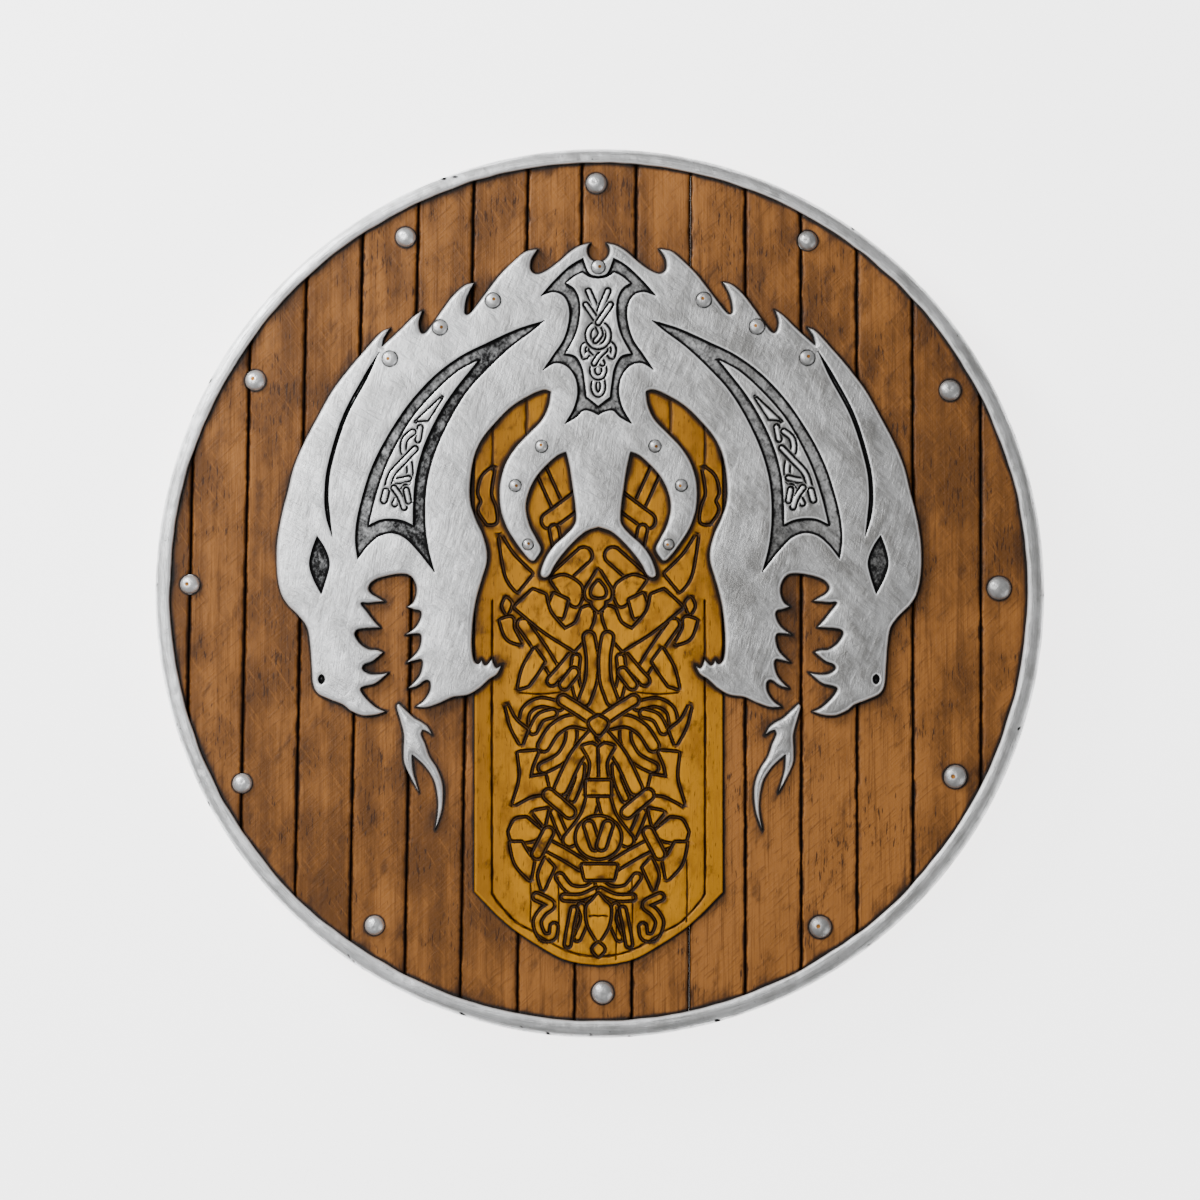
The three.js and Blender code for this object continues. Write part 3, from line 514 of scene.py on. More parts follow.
CROWN_REACH = 1.2  # how far in from its edge a mark is rounded
SIDE_SHARE = 0.2  # the wash, partly painted shade, is darkest this share of a groove's width from its side


def near_mark(at, mark, reach):
    """Which places are near enough to a mark to matter to it."""
    reach += mark.width / 2
    return ((at >= mark.line.min(0) - reach) & (at <= mark.line.max(0) + reach)).all(1)


def carve(at, marks, groove, depth, crown, soft=False):
    """Height and wash at each place: every mark lies over those before it and is edged by a flat groove,
    darkest along both its sides, or, if soft, by one that is deep and dark beside the mark and fades away. The dark in
    the grooves is a wash that is partly painted shade."""
    height, wash_and_shade = np.zeros(len(at)), np.zeros(len(at))
    for mark in marks:
        near = near_mark(at, mark, groove + 0.1)
        if not near.any():
            continue
        out = mark.outside(at[near])
        share = np.clip(out / groove, 0, 1)
        if soft:
            cut = ease(share / SIDE_SHARE) * (1 - ease((share - SIDE_SHARE) / (1 - SIDE_SHARE)))
            ink_and_shade = 1.3 * hump(share, SIDE_SHARE, 0.5)
        else:
            side = np.minimum(share, 1 - share)
            cut = ease(side / 0.3)
            ink_and_shade = hump(side, SIDE_SHARE, 0.2) + 0.52 * cut
        dome = crown * (1 - ease((out + CROWN_REACH) / CROWN_REACH))
        reached = out < groove
        rows = np.flatnonzero(near)[reached]
        height[rows] = (dome - depth * cut)[reached]
        wash_and_shade[rows] = np.where(out > 0, ink_and_shade, 0)[reached]
    return height, np.clip(wash_and_shade, 0, 1)


def panel_marks():
    """Bands and patches of the panel's interlace, most of them left halves, each laid over those before it."""
    marks = with_mirror([
        band([(-45, 97), (-38.5, 82), (-29, 61)], 5.0),
        band([(-6, 70), (-20, 59), (-33.5, 49)], 8.6),
        band([(-30.5, 43), (-28.5, 33)], 3.6),
        patch([(-72.6, 84.8), (-79, 79), (-81.6, 69), (-79.4, 62.4), (-81.3, 56), (-76, 47.5)],
              [(-71.2, 48.6), (-71.9, 58), (-75, 68), (-72.6, 84.8)]),
        patch([(-67.5, 38), (-59, 25), (-46.5, 12.5)], [(-56, 1)], [(-63, 12), (-67.5, 38)]),
        patch([(-63.3, -4.7), (-60.7, -8.2), (-62.9, -14.4)], [(-65.1, -9.6), (-63.3, -4.7)]),
        patch([(-66.9, -19.8), (-59.8, -18.4), (-58.9, -25.6), (-53.6, -35.3)], [(-62.4, -31.3), (-66.9, -19.8)]),
        band([(-27.1, 9.6), (-18.4, 17.6), (-10, 25.1)], 8.6),
        patch([(-31.8, 8.2), (-23.3, 10.4), (-13.3, 4.4), (-11.8, -3.3)],
              [(-15.6, -9.1), (-23.3, -3.3), (-31.8, 8.2)]),
        patch([(-30.4, -2), (-22, -6)], [(-25.1, -17.3)], [(-35.1, -14)]),
        band([(-51.8, -22.2), (-40, -38.9), (-30.4, -54.4)], 5.2),
        band([(-31.8, -61.1), (-25.6, -54.4), (-18.4, -45.6)], 4.2),
        band([(-15.3, -45.6), (-16.2, -58.9), (-13.1, -72.7)], 2.8),
        patch([(-56.7, -10.4), (-44.9, 0.7)], [(-37.1, -2.4)], [(-33.6, -14.4), (-23.3, -26.7)],
              [(-14.9, -21.6), (-10.9, -12.2)], [(-6.4, -10.9), (-3.8, -14.9), (-4.7, -20.7)],
              [(-9.1, -30.4), (-16.7, -39.3)], [(-37.1, -26.4), (-56.7, -10.4)]),
        patch([(-43.8, -39.8), (-50.9, -52.2), (-54.4, -65.6)], [(-48.7, -63.8)], [(-42, -54.4), (-38, -47.8)]),
        band([(-23.3, -63.8), (-16.7, -55.3)], 4.0),
        band([(-6.4, -31.3), (-4.2, -45.6), (-5.1, -61.1), (-9.6, -74.4)], 5.2),
        band([(-51.8, -94), (-49.6, -81.6), (-39.8, -75.8), (-26.9, -78.4)], 3.2),
        band([(-44.7, -94.9), (-39.8, -86.4), (-31.3, -83.3)], 3.0),
        band([(-37.6, -120.7), (-25.6, -114), (-19.3, -103.3), (-18.4, -94.4)], 4.6),
        band([(-37.6, -105.6), (-30.4, -94.9), (-19.3, -88.7), (-6, -90.9)], 5.4),
        band([(-24.2, -74.4), (-15.3, -79.8), (-5.6, -86.4)], 4.6),
        patch([(-62.9, -78.4), (-57.6, -88.2), (-49.6, -94.9)], [(-53.1, -104.2)], [(-59.3, -92.2), (-62.9, -78.4)]),
        patch([(-54.4, -110.9), (-42.4, -110)], [(-46.4, -119.8), (-47.8, -128.2)], [(-37.1, -126.4)],
              [(-34.4, -138.4)], [(-45.6, -139.3), (-58, -145.6)], [(-53.1, -127.8), (-54.4, -110.9)]),
        band([(-12.2, -119.8), (-13.6, -130), (-18.4, -141.6)], 2.8),
        band([(-2.9, -98.4), (-15.3, -113.6), (-25.6, -134.9)], 6.4),
        patch([(-10, -106.4), (-4.7, -105.1), (-1.2, -107.3)], [(-1.7, -127.8)], [(-6, -127.8)],
              [(-4.7, -117.1), (-10, -106.4)]),
        band([(-30.4, -151.1), (-26, -162.2), (-22, -170.4)], 2.6),
        band([(-34, -139.3), (-19.8, -151.3)], 5.4),
        band([(-4.2, -142.9), (-8.7, -155.8), (-19.8, -170.4)], 6.4),
    ])
    marks += [ring(-168.5, 14.5, 13.5)]
    marks += with_mirror([
        band([(-6.5, -160.5), (-2.2, -174)], 4.2),
        band([(-39.8, -176.7), (-47.8, -173.1)], 2.6),
        patch([(-60.7, -164.7), (-56.7, -157.1), (-49.6, -155.8)], [(-40.2, -163.8)],
              [(-44.2, -169.6), (-58.9, -171.8)]),
        patch([(-44.2, -151.3), (-35.3, -149.6)], [(-37.6, -159.3)]),
        patch([(-59.8, -172.7), (-53.1, -172.7)], [(-49.6, -178.9), (-45.1, -184.7)], [(-47.3, -196.7)],
              [(-56.2, -186.4), (-59.8, -172.7)]),
        band([(-34.9, -174), (-23.3, -180.2), (-10.9, -187.8)], 5.2),
        band([(-34.4, -165.1), (-42, -179.8)], 4.6),
        patch([(-36.2, -183.8), (-31.3, -189.1)], [(-38, -203.8)], [(-40.2, -194), (-36.2, -183.8)]),
        band([(-26.4, -195.8), (-19.3, -203.8), (-8.7, -204.7), (-0.7, -199.8)], 3.0),
        band([(-23.3, -209.6), (-11.8, -209.6), (-1.6, -205.1)], 1.8),
        band([(-42.4, -209.1), (-32.7, -214.4), (-38.4, -219.8), (-42, -226.9), (-38.4, -236.2), (-31.8, -236.2),
              (-30.4, -229.6)], 2.6),
        band([(-11.8, -215.8), (-9.6, -224.7), (-14.4, -237.1)], 2.2),
        band([(-16.7, -218), (-19.3, -230.4), (-21.1, -241.6)], 1.8),
    ])
    return marks + [
        patch([(-7.6, -130.4), (7.6, -130.4)], [(7.6, -138.7)], [(-7.6, -138.7)]),
        patch([(-10.4, -188), (12, -188)], [(10, -196.5)], [(-8.6, -196.5)]),
        patch([(0, -86), (-5.6, -90), (-1.5, -96.5), (0, -97.5)], [(1.5, -96.5), (5.6, -90), (0, -86)]),
        patch([(0, 14.5), (-4.5, 7), (-8, 1), (-7.5, -4), (-4, -6), (-3.5, -9), (0, -12.5)],
              [(3.5, -9), (4, -6), (7.5, -4), (8, 1), (4.5, 7), (0, 14.5)]),
        patch([(0, 6.5), (-3.4, 2), (-3.6, -2), (0, -3)], [(3.6, -2), (3.4, 2), (0, 6.5)]),
        patch([(0, -208), (-3.6, -212.4), (-7.4, -216.9), (-6.2, -228.3), (0, -239.3)],
              [(6.2, -228.3), (7.4, -216.9), (3.6, -212.4), (0, -208)]),
        patch([(0, -241.5), (-3.2, -245), (0, -249)], [(3.2, -245), (0, -241.5)]),
    ]


def edge_distance(at, marks, groove):
    """How far each place is from the nearest groove's side, where that is near at all."""
    closest = np.full(len(at), 9.0)
    for mark in marks:
        near = near_mark(at, mark, groove + 2)
        if near.any():
            out = mark.outside(at[near])
            closest[near] = np.minimum(closest[near], np.minimum(np.abs(out), np.abs(out - groove)))
    return closest


def panel_seams():
    """The border grooves and the joints of the panel's planks: line, width, depth."""
    border = join_runs([[(-73, -6), (-73.2, -100), (-73, -207)],
                        [(-73, -207), (-69, -213), (-57, -226), (-44, -233.5), (-28, -243.2), (-14, -248.5),
                         (0, -250.3)]])
    seams = [(border, 2.4, 1.3), (flip(border), 2.4, 1.3)]
    for line in ([(-54.4, -69.3), (-40, -70.2), (-25.6, -68.9)], [(-6.2, -222.6), (-3, -222), (0, -222.4)]):
        seams += [(smooth_run(line), 1.9, 1.0), (flip(smooth_run(line)), 1.9, 1.0)]
    for x, top, low, width in ((-46.7, -195, -226, 1.8), (-27.5, -196, -240, 1.8), (12, -216, -252, 1.4),
                               (23, -196, -240, 1.8), (60.5, -184, -226, 1.8), (-73, 118, 84, 2.6),
                               (-49.5, 131, 110, 3.6), (73, 118, 84, 2.6), (49.5, 131, 110, 3.6)):
        seams.append((smooth_run([(x, top), (x + 0.4, (top + low) / 2), (x, low)]), width, 0.9))
    return seams


def leaf_marks():
    """The knot on each crescent's leaf."""
    return with_mirror([
        patch([(-107.5, 134), (-117.5, 118.5)], [(-117.5, 118.5), (-124.5, 118)], [(-124.5, 118), (-107.5, 134)]),
        band([(-122.5, 113), (-124, 104.5)], 2.4),
        band([(-127.5, 110), (-133, 105), (-134, 97), (-130, 88), (-130, 78), (-134, 73.5)], 2.5),
        band([(-143.5, 76), (-137, 76.5), (-130.5, 78)], 2.4),
        band([(-126, 98.5), (-134, 90), (-142, 81), (-145.5, 70)], 2.6),
        band([(-146, 69), (-147.5, 63)], 3),
        band([(-132.5, 72), (-137, 66), (-140, 60.5)], 2.4),
        band([(-140.5, 71.5), (-136, 65), (-133.5, 58)], 2.4),
        band([(-132, 70), (-130.5, 62.5)], 2.4),
    ])


def shieldlet_marks():
    """The knot in the cartouche, from the foot up."""
    arms = with_mirror([band([(-6.8, 207), (-3.2, 198.5), (0, 190)], 2.4),
                        band([(-8.6, 197.5), (-4, 191), (0, 185)], 2.2)])
    sides = with_mirror([band([(-2.6, 166.5), (-8, 170), (-10.6, 167), (-9.4, 161.5), (-7, 164), (-3.5, 164)], 2.0)])
    crossing = with_mirror([band([(-4.8, 166.5), (0, 161.5), (2.8, 157)], 2.0)])
    rings = [ring(141.2, 3.2, 5.6, 2.0), ring(152.3, 4.1, 4.9, 2.0), ring(176.3, 7.0, 7.8, 2.3)]
    return sides + rings[:2] + crossing + rings[2:] + [band([(0, 182), (1.6, 177), (-1.8, 172.5)], 1.8)] + arms


# ---------------------------------------------------------------- meshes


CELL = 0.25  # two places of a net are no closer than about this
AIR = 0.02  # the pieces stop this short of the solids they stand for
PLATE_AIR = 0.03  # and the plate this short of its own, and of the panel below it
WELD = 2e-6  # corners closer than this are one, in metres
UNDER_SPACING = 9.0  # between the places of an underside


def net(outline, creases, rows, spacing):
    """Places and triangles inside an outline, fine along the creases and rows, and even elsewhere."""
    places, edges = [], []
    for loop in (outline, *creases):
        start, count = len(places), len(loop)
        places += [(x, y) for x, y in loop]
        edges += [(start + i, start + (i + 1) % count) for i in range(count)]
    taken = {(round(x / CELL), round(y / CELL)) for x, y in places}
    for x, y in (place for row in rows for place in row):
        cell = (round(x / CELL), round(y / CELL))
        if cell not in taken:
            taken.add(cell)
            places.append((x, y))
    low, high = outline.min(0), outline.max(0)
    tall = spacing * math.sqrt(3) / 2
    lattice = [(low[0] + spacing * (i + 0.5 * (j % 2)), low[1] + tall * j)
               for j in range(int((high[1] - low[1]) / tall) + 1)
               for i in range(int((high[0] - low[0]) / spacing) + 1)]
    crowded = {(x // spacing, y // spacing) for x, y in places}
    places += [(x, y) for x, y in lattice if (x // spacing, y // spacing) not in crowded]
    made = delaunay_2d_cdt([Vector(p) for p in places], edges, [list(range(len(outline)))], 0, 1e-5, True)
    triangles = [triangle for triangle, within in zip(made[2], made[5]) if within]
    used = sorted({corner for triangle in triangles for corner in triangle})
    order = {corner: i for i, corner in enumerate(used)}
    kept = np.array([tuple(made[0][corner]) for corner in used])
    return kept, [[order[corner] for corner in triangle] for triangle in triangles]


def to_object(name, bm, material):
    """Closes a bmesh into an object in the scene."""
    mesh = bpy.data.meshes.new(name)
    bm.to_mesh(mesh)
    bm.free()
    mesh.materials.append(material)
    made = bpy.data.objects.new(name, mesh)
    bpy.context.scene.collection.objects.link(made)
    return made


def add_piece(name, bm, material, replaced, sharp=180):
    """Closes a bmesh into a finished piece that rides on the shield and stands for its CAD nodes. Its shading
    breaks where faces meet at a sharper angle than so many degrees."""
    bmesh.ops.recalc_face_normals(bm, faces=bm.faces)
    piece = to_object(name, bm, material)
    piece.data.shade_smooth()
    piece.data.set_sharp_from_angle(angle=math.radians(sharp))
    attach(piece, "root")
    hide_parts(*replaced)


def on_boards(under):
    """The foot of what lies on the boards: its height, and wash all over, which paints the shade underneath."""
    return np.full(len(under), FACE_Z + AIR), np.ones(len(under))


def relief(name, outline, rows, spacing, shape, material, replaced, sharp, foot=on_boards, creases=(),
           steps=(), mark="rub_and_highlight"):
    """A flat piece whose upper face is cut by shape(places) -> (heights, wash, second mark), with walls down to its
    foot(places) -> (heights, wash). The walls are darkened towards their foot as painted shade."""
    places, triangles = net(outline, creases, rows, spacing)
    bm = bmesh.new()
    wash_and_shade_layer = bm.verts.layers.float.new("wash_and_shade")
    marked = bm.verts.layers.float.new(mark)

    def lay(places, triangles, heights, wash_and_shade, second):
        corners = []
        for (x, y), z, w, other in zip(places, heights, wash_and_shade, second):
            corner = bm.verts.new((x * MM, y * MM, z * MM))
            corner[wash_and_shade_layer], corner[marked] = w, other
            corners.append(corner)
        for triangle in triangles:
            bm.faces.new([corners[i] for i in triangle])

    lay(places, triangles, *shape(places))
    brim = [edge for edge in bm.edges if edge.is_boundary]
    wall = bmesh.ops.extrude_edge_only(bm, edges=brim)["geom"]
    lower = [part for part in wall if isinstance(part, bmesh.types.BMVert)]
    under = np.array([(v.co.x / MM, v.co.y / MM) for v in lower])
    # The walls grow dark towards their foot: painted shade.
    for corner, z in zip(lower, foot(under)[0]):
        corner.co.z = z * MM
        corner[wash_and_shade_layer] = 1.0
    below, triangles = net(outline, (), steps, UNDER_SPACING)
    lay(below, triangles, *foot(below), np.zeros(len(below)))
    bmesh.ops.remove_doubles(bm, verts=bm.verts, dist=WELD)
    add_piece(name, bm, material, replaced, sharp)


# ---------------------------------------------------------------- materials


SMOOTH = {"interpolation_type": "SMOOTHSTEP"}  # a range that eases in and out, from inputs 1 to 2 into 3 to 4
PAINT = {"data_type": "RGBA", "out": 2}  # a mix of colours: the share, the ground, then the paint over it
SUM = {"operation": "MULTIPLY_ADD"}  # the first input times the second, plus the third
# What the mesh's own marks say at each place.
WASH_AND_SHADE, RUB_AND_HIGHLIGHT, TONE_AND_SHADE, PIT = ({"attribute_name": name, "out": 2} for name in ("wash_and_shade", "rub_and_highlight", "tone_and_shade", "pit"))


def add(tree, kind, inputs=(), out=0, **settings):
    """Adds a node, sets it up, fills its inputs with values or other nodes' outputs, and returns one output."""
    made = tree.nodes.new("ShaderNode" + kind)
    for name, value in settings.items():
        setattr(made, name, value)
    for key, value in dict(inputs).items():
        if isinstance(value, bpy.types.NodeSocket):
            tree.links.new(value, made.inputs[key])
        else:
            made.inputs[key].default_value = value
    return made.outputs[out]


def new_material(name):
    """A material with its surface shader, and the object coordinates that its patterns read."""
    material = bpy.data.materials.new(name)
    material.use_nodes = True
    tree = material.node_tree
    tree.nodes.clear()
    surface = add(tree, "BsdfPrincipled")
    tree.links.new(surface, tree.nodes.new("ShaderNodeOutputMaterial").inputs["Surface"])
    return material, tree, surface.node, add(tree, "TexCoord", out="Object")


def finish_with(tree, shader, **inputs):
    """Sets the surface shader's own sockets, or links patterns to them."""
    for name, value in inputs.items():
        socket = shader.inputs[name.replace("_", " ")]
        if isinstance(value, bpy.types.NodeSocket):
            tree.links.new(value, socket)
        else:
            socket.default_value = value


def coats(tree, colour, *layers):
    """Lays one paint after another over a colour, each by its pattern: from the low to the high of the pattern, its
    share goes from least to most."""
    for pattern, low, high, least, most, paint in layers:
        share = add(tree, "MapRange", {0: pattern, 1: low, 2: high, 3: least, 4: most}, **SMOOTH)
        colour = add(tree, "Mix", {0: share, 6: colour, 7: paint}, **PAINT)
    return colour


def strokes(tree, place, across, along, turn=0.0, detail=4.0, shift=0.0):
    """Streaks of a width and length in millimetres, along Y or turned from it by degrees: about 0.3 to 0.7."""
    turned = add(tree, "Mapping", {"Vector": place, "Rotation": (0, 0, math.radians(turn))})
    drawn = add(tree, "Mapping", {"Vector": turned, "Location": (shift, shift, shift),
                                  "Scale": (1 / (across * MM), 1 / (along * MM), 1 / (across * MM))})
    return add(tree, "TexNoise", {"Vector": drawn, "Scale": 1.0, "Detail": detail, "Roughness": 0.6})


# Pine boards, stained and varnished: long streaks, crossed scuffs, short dark ticks, a satin face, and a dark
# brown wash that is rubbed into every joint and lies thick beside the fittings, where it is partly painted shade.
# The stain is also laid darker or paler across the shield as painted shade and light.
def stained_pine(wood):
    material, tree, shader, place = new_material("stained_pine")
    broad = strokes(tree, place, 9, 150)
    grain = strokes(tree, place, wood.grain_width / MM, wood.grain_length / MM, detail=6)
    ticks = strokes(tree, place, 1.3, 11, turn=1, detail=2, shift=3)
    patches = strokes(tree, place, 34, 50, shift=7)
    smudges = strokes(tree, place, 9, 24, turn=20, detail=6, shift=21)
    scuffs = strokes(tree, place, 1.8, 24, turn=-34, detail=5, shift=11)
    crossed = strokes(tree, place, 1.6, 18, turn=48, detail=5, shift=14)
    tone_and_shade = add(tree, "Attribute", **TONE_AND_SHADE)
    wash_and_shade = add(tree, "Attribute", **WASH_AND_SHADE)
    # How thick the stain lies, by broad streaks, patches and each board's painted shade and tone.
    depth = add(tree, "Math", {0: broad, 1: 1.0, 2: tone_and_shade}, **SUM)
    depth = add(tree, "Math", {0: patches, 1: 1.3, 2: depth}, **SUM)
    colour = coats(tree, wood.stain_light, (depth, 0.98, 1.6, 0, 1, wood.dark_stain_and_shade),
                   (grain, 0.48, 0.7, 0, 0.7, wood.dark_stain_and_shade), (scuffs, 0.54, 0.7, 0, 0.4, wood.stain_light),
                   (crossed, 0.54, 0.68, 0, 0.55, wood.dark_stain_and_shade), (smudges, 0.54, 0.74, 0, 0.55, wood.umber))
    where = add(tree, "MapRange", {0: patches, 1: 0.4, 2: 0.62, 3: 0.8, 4: 1.04}, **SMOOTH)
    where = add(tree, "Math", {0: ticks, 1: where}, operation="MULTIPLY")
    colour = coats(tree, colour, (where, 0.58, 0.66, 0, 0.85, wood.umber))
    # The wash, torn by the grain and smudges: dark in the joints, and partly painted shade beside the fittings.
    torn = add(tree, "Math", {0: grain, 1: 0.5, 2: wash_and_shade}, **SUM)
    torn = add(tree, "Math", {0: smudges, 1: 0.7, 2: torn}, **SUM)
    colour = coats(tree, colour, (torn, 0.72, 1.3, 0, 0.9, wood.umber), (torn, 1.25, 1.6, 0, 1, wood.wash_and_shade))
    rough = add(tree, "MapRange", {0: grain, 1: 0.3, 2: 0.7, 3: 0.4, 4: 0.58}, **SMOOTH)
    bumps = add(tree, "Math", {0: crossed, 1: scuffs}, operation="ADD")
    bumps = add(tree, "Math", {0: grain, 1: 0.8, 2: bumps}, **SUM)
    finish_with(tree, shader, Base_Color=colour, Roughness=rough, IOR=1.45, Specular_IOR_Level=0.35,
                Normal=add(tree, "Bump", {"Height": bumps, "Distance": 0.5 * MM, "Strength": 0.6}))
    return material


# Bare pine, sawn and sanded: pale, dull, with a straight grain.
def sanded_pine():
    material, tree, shader, place = new_material("sanded_pine")
    turned = add(tree, "Mapping", {"Vector": place, "Rotation": (0, 0, math.radians(90))})
    grain = strokes(tree, turned, 1.8, 80, detail=6)
    bands = strokes(tree, turned, 7, 260, shift=5)
    colour = coats(tree, linear("#B48C5C"), (bands, 0.35, 0.68, 0, 1, linear("#8C6236")),
                   (grain, 0.52, 0.72, 0, 0.55, linear("#6E4A26")))
    finish_with(tree, shader, Base_Color=colour,
                Roughness=add(tree, "MapRange", {0: grain, 1: 0.3, 2: 0.7, 3: 0.6, 4: 0.75}, **SMOOTH), IOR=1.5,
                Normal=add(tree, "Bump", {"Height": grain, "Distance": 0.4 * MM, "Strength": 0.5}))
    return material


# Carved wood under old gold paint: a satin ochre, olive where it is dirty, rubbed bright on the edges of the
# cuts, partly wear and partly painted highlight, with a near-black wash in them that is partly painted shade. It is
# duller towards the top, a painted shadow of the plate, and along both sides.
def old_gold_paint(gilding):
    material, tree, shader, place = new_material("old_gold_paint")
    cloud = strokes(tree, place, 20, 40, detail=5)
    brush = strokes(tree, place, 1.6, 34, detail=5, shift=2)
    dirt = strokes(tree, place, 7, 12, turn=10, detail=5, shift=9)
    ticks = strokes(tree, place, 1.2, 8, detail=2, shift=5)
    wash_and_shade = add(tree, "Attribute", **WASH_AND_SHADE)
    rub_and_highlight = add(tree, "Attribute", **RUB_AND_HIGHLIGHT)
    colour = coats(tree, gilding.gold, (cloud, 0.44, 0.74, 0, 1, gilding.dull_gold_and_shade))
    side, height, _ = add(tree, "SeparateXYZ", {"Vector": place}).node.outputs
    # Duller towards the top, a painted shadow of the plate, and along both sides; streaks, dirt and ticks; and a
    # painted highlight, partly rubbed gilding, beside the cuts.
    colour = coats(tree, colour, (height, -0.1, 0.11, 0, 0.55, gilding.dull_gold_and_shade),
                   (side, -0.085, -0.04, 0.75, 0, gilding.dull_gold_and_shade), (side, 0.03, 0.085, 0, 0.45, gilding.dull_gold_and_shade),
                   (brush, 0.52, 0.72, 0, 0.5, gilding.dull_gold_and_shade), (dirt, 0.54, 0.74, 0, 0.6, gilding.umber),
                   (ticks, 0.62, 0.7, 0, 0.6, gilding.umber), (rub_and_highlight, 0.1, 1.0, 0, 0.55, gilding.gold))
    # The wash in the grooves, torn by the dirt, is partly painted shade.
    torn = add(tree, "Math", {0: dirt, 1: 0.45, 2: wash_and_shade}, **SUM)
    colour = coats(tree, colour, (torn, 0.34, 0.8, 0, 0.85, gilding.umber), (torn, 0.78, 1.2, 0, 1, gilding.wash_and_shade))
    bumps = add(tree, "Math", {0: dirt, 1: 1.5, 2: brush}, **SUM)
    finish_with(tree, shader, Base_Color=colour, Metallic=0.1,
                Roughness=add(tree, "MapRange", {0: brush, 1: 0.3, 2: 0.7, 3: 0.4, 4: 0.55}, **SMOOTH), IOR=1.45,
                Specular_IOR_Level=0.22,
                Normal=add(tree, "Bump", {"Height": bumps, "Distance": 0.3 * MM, "Strength": 0.5}))
    return material


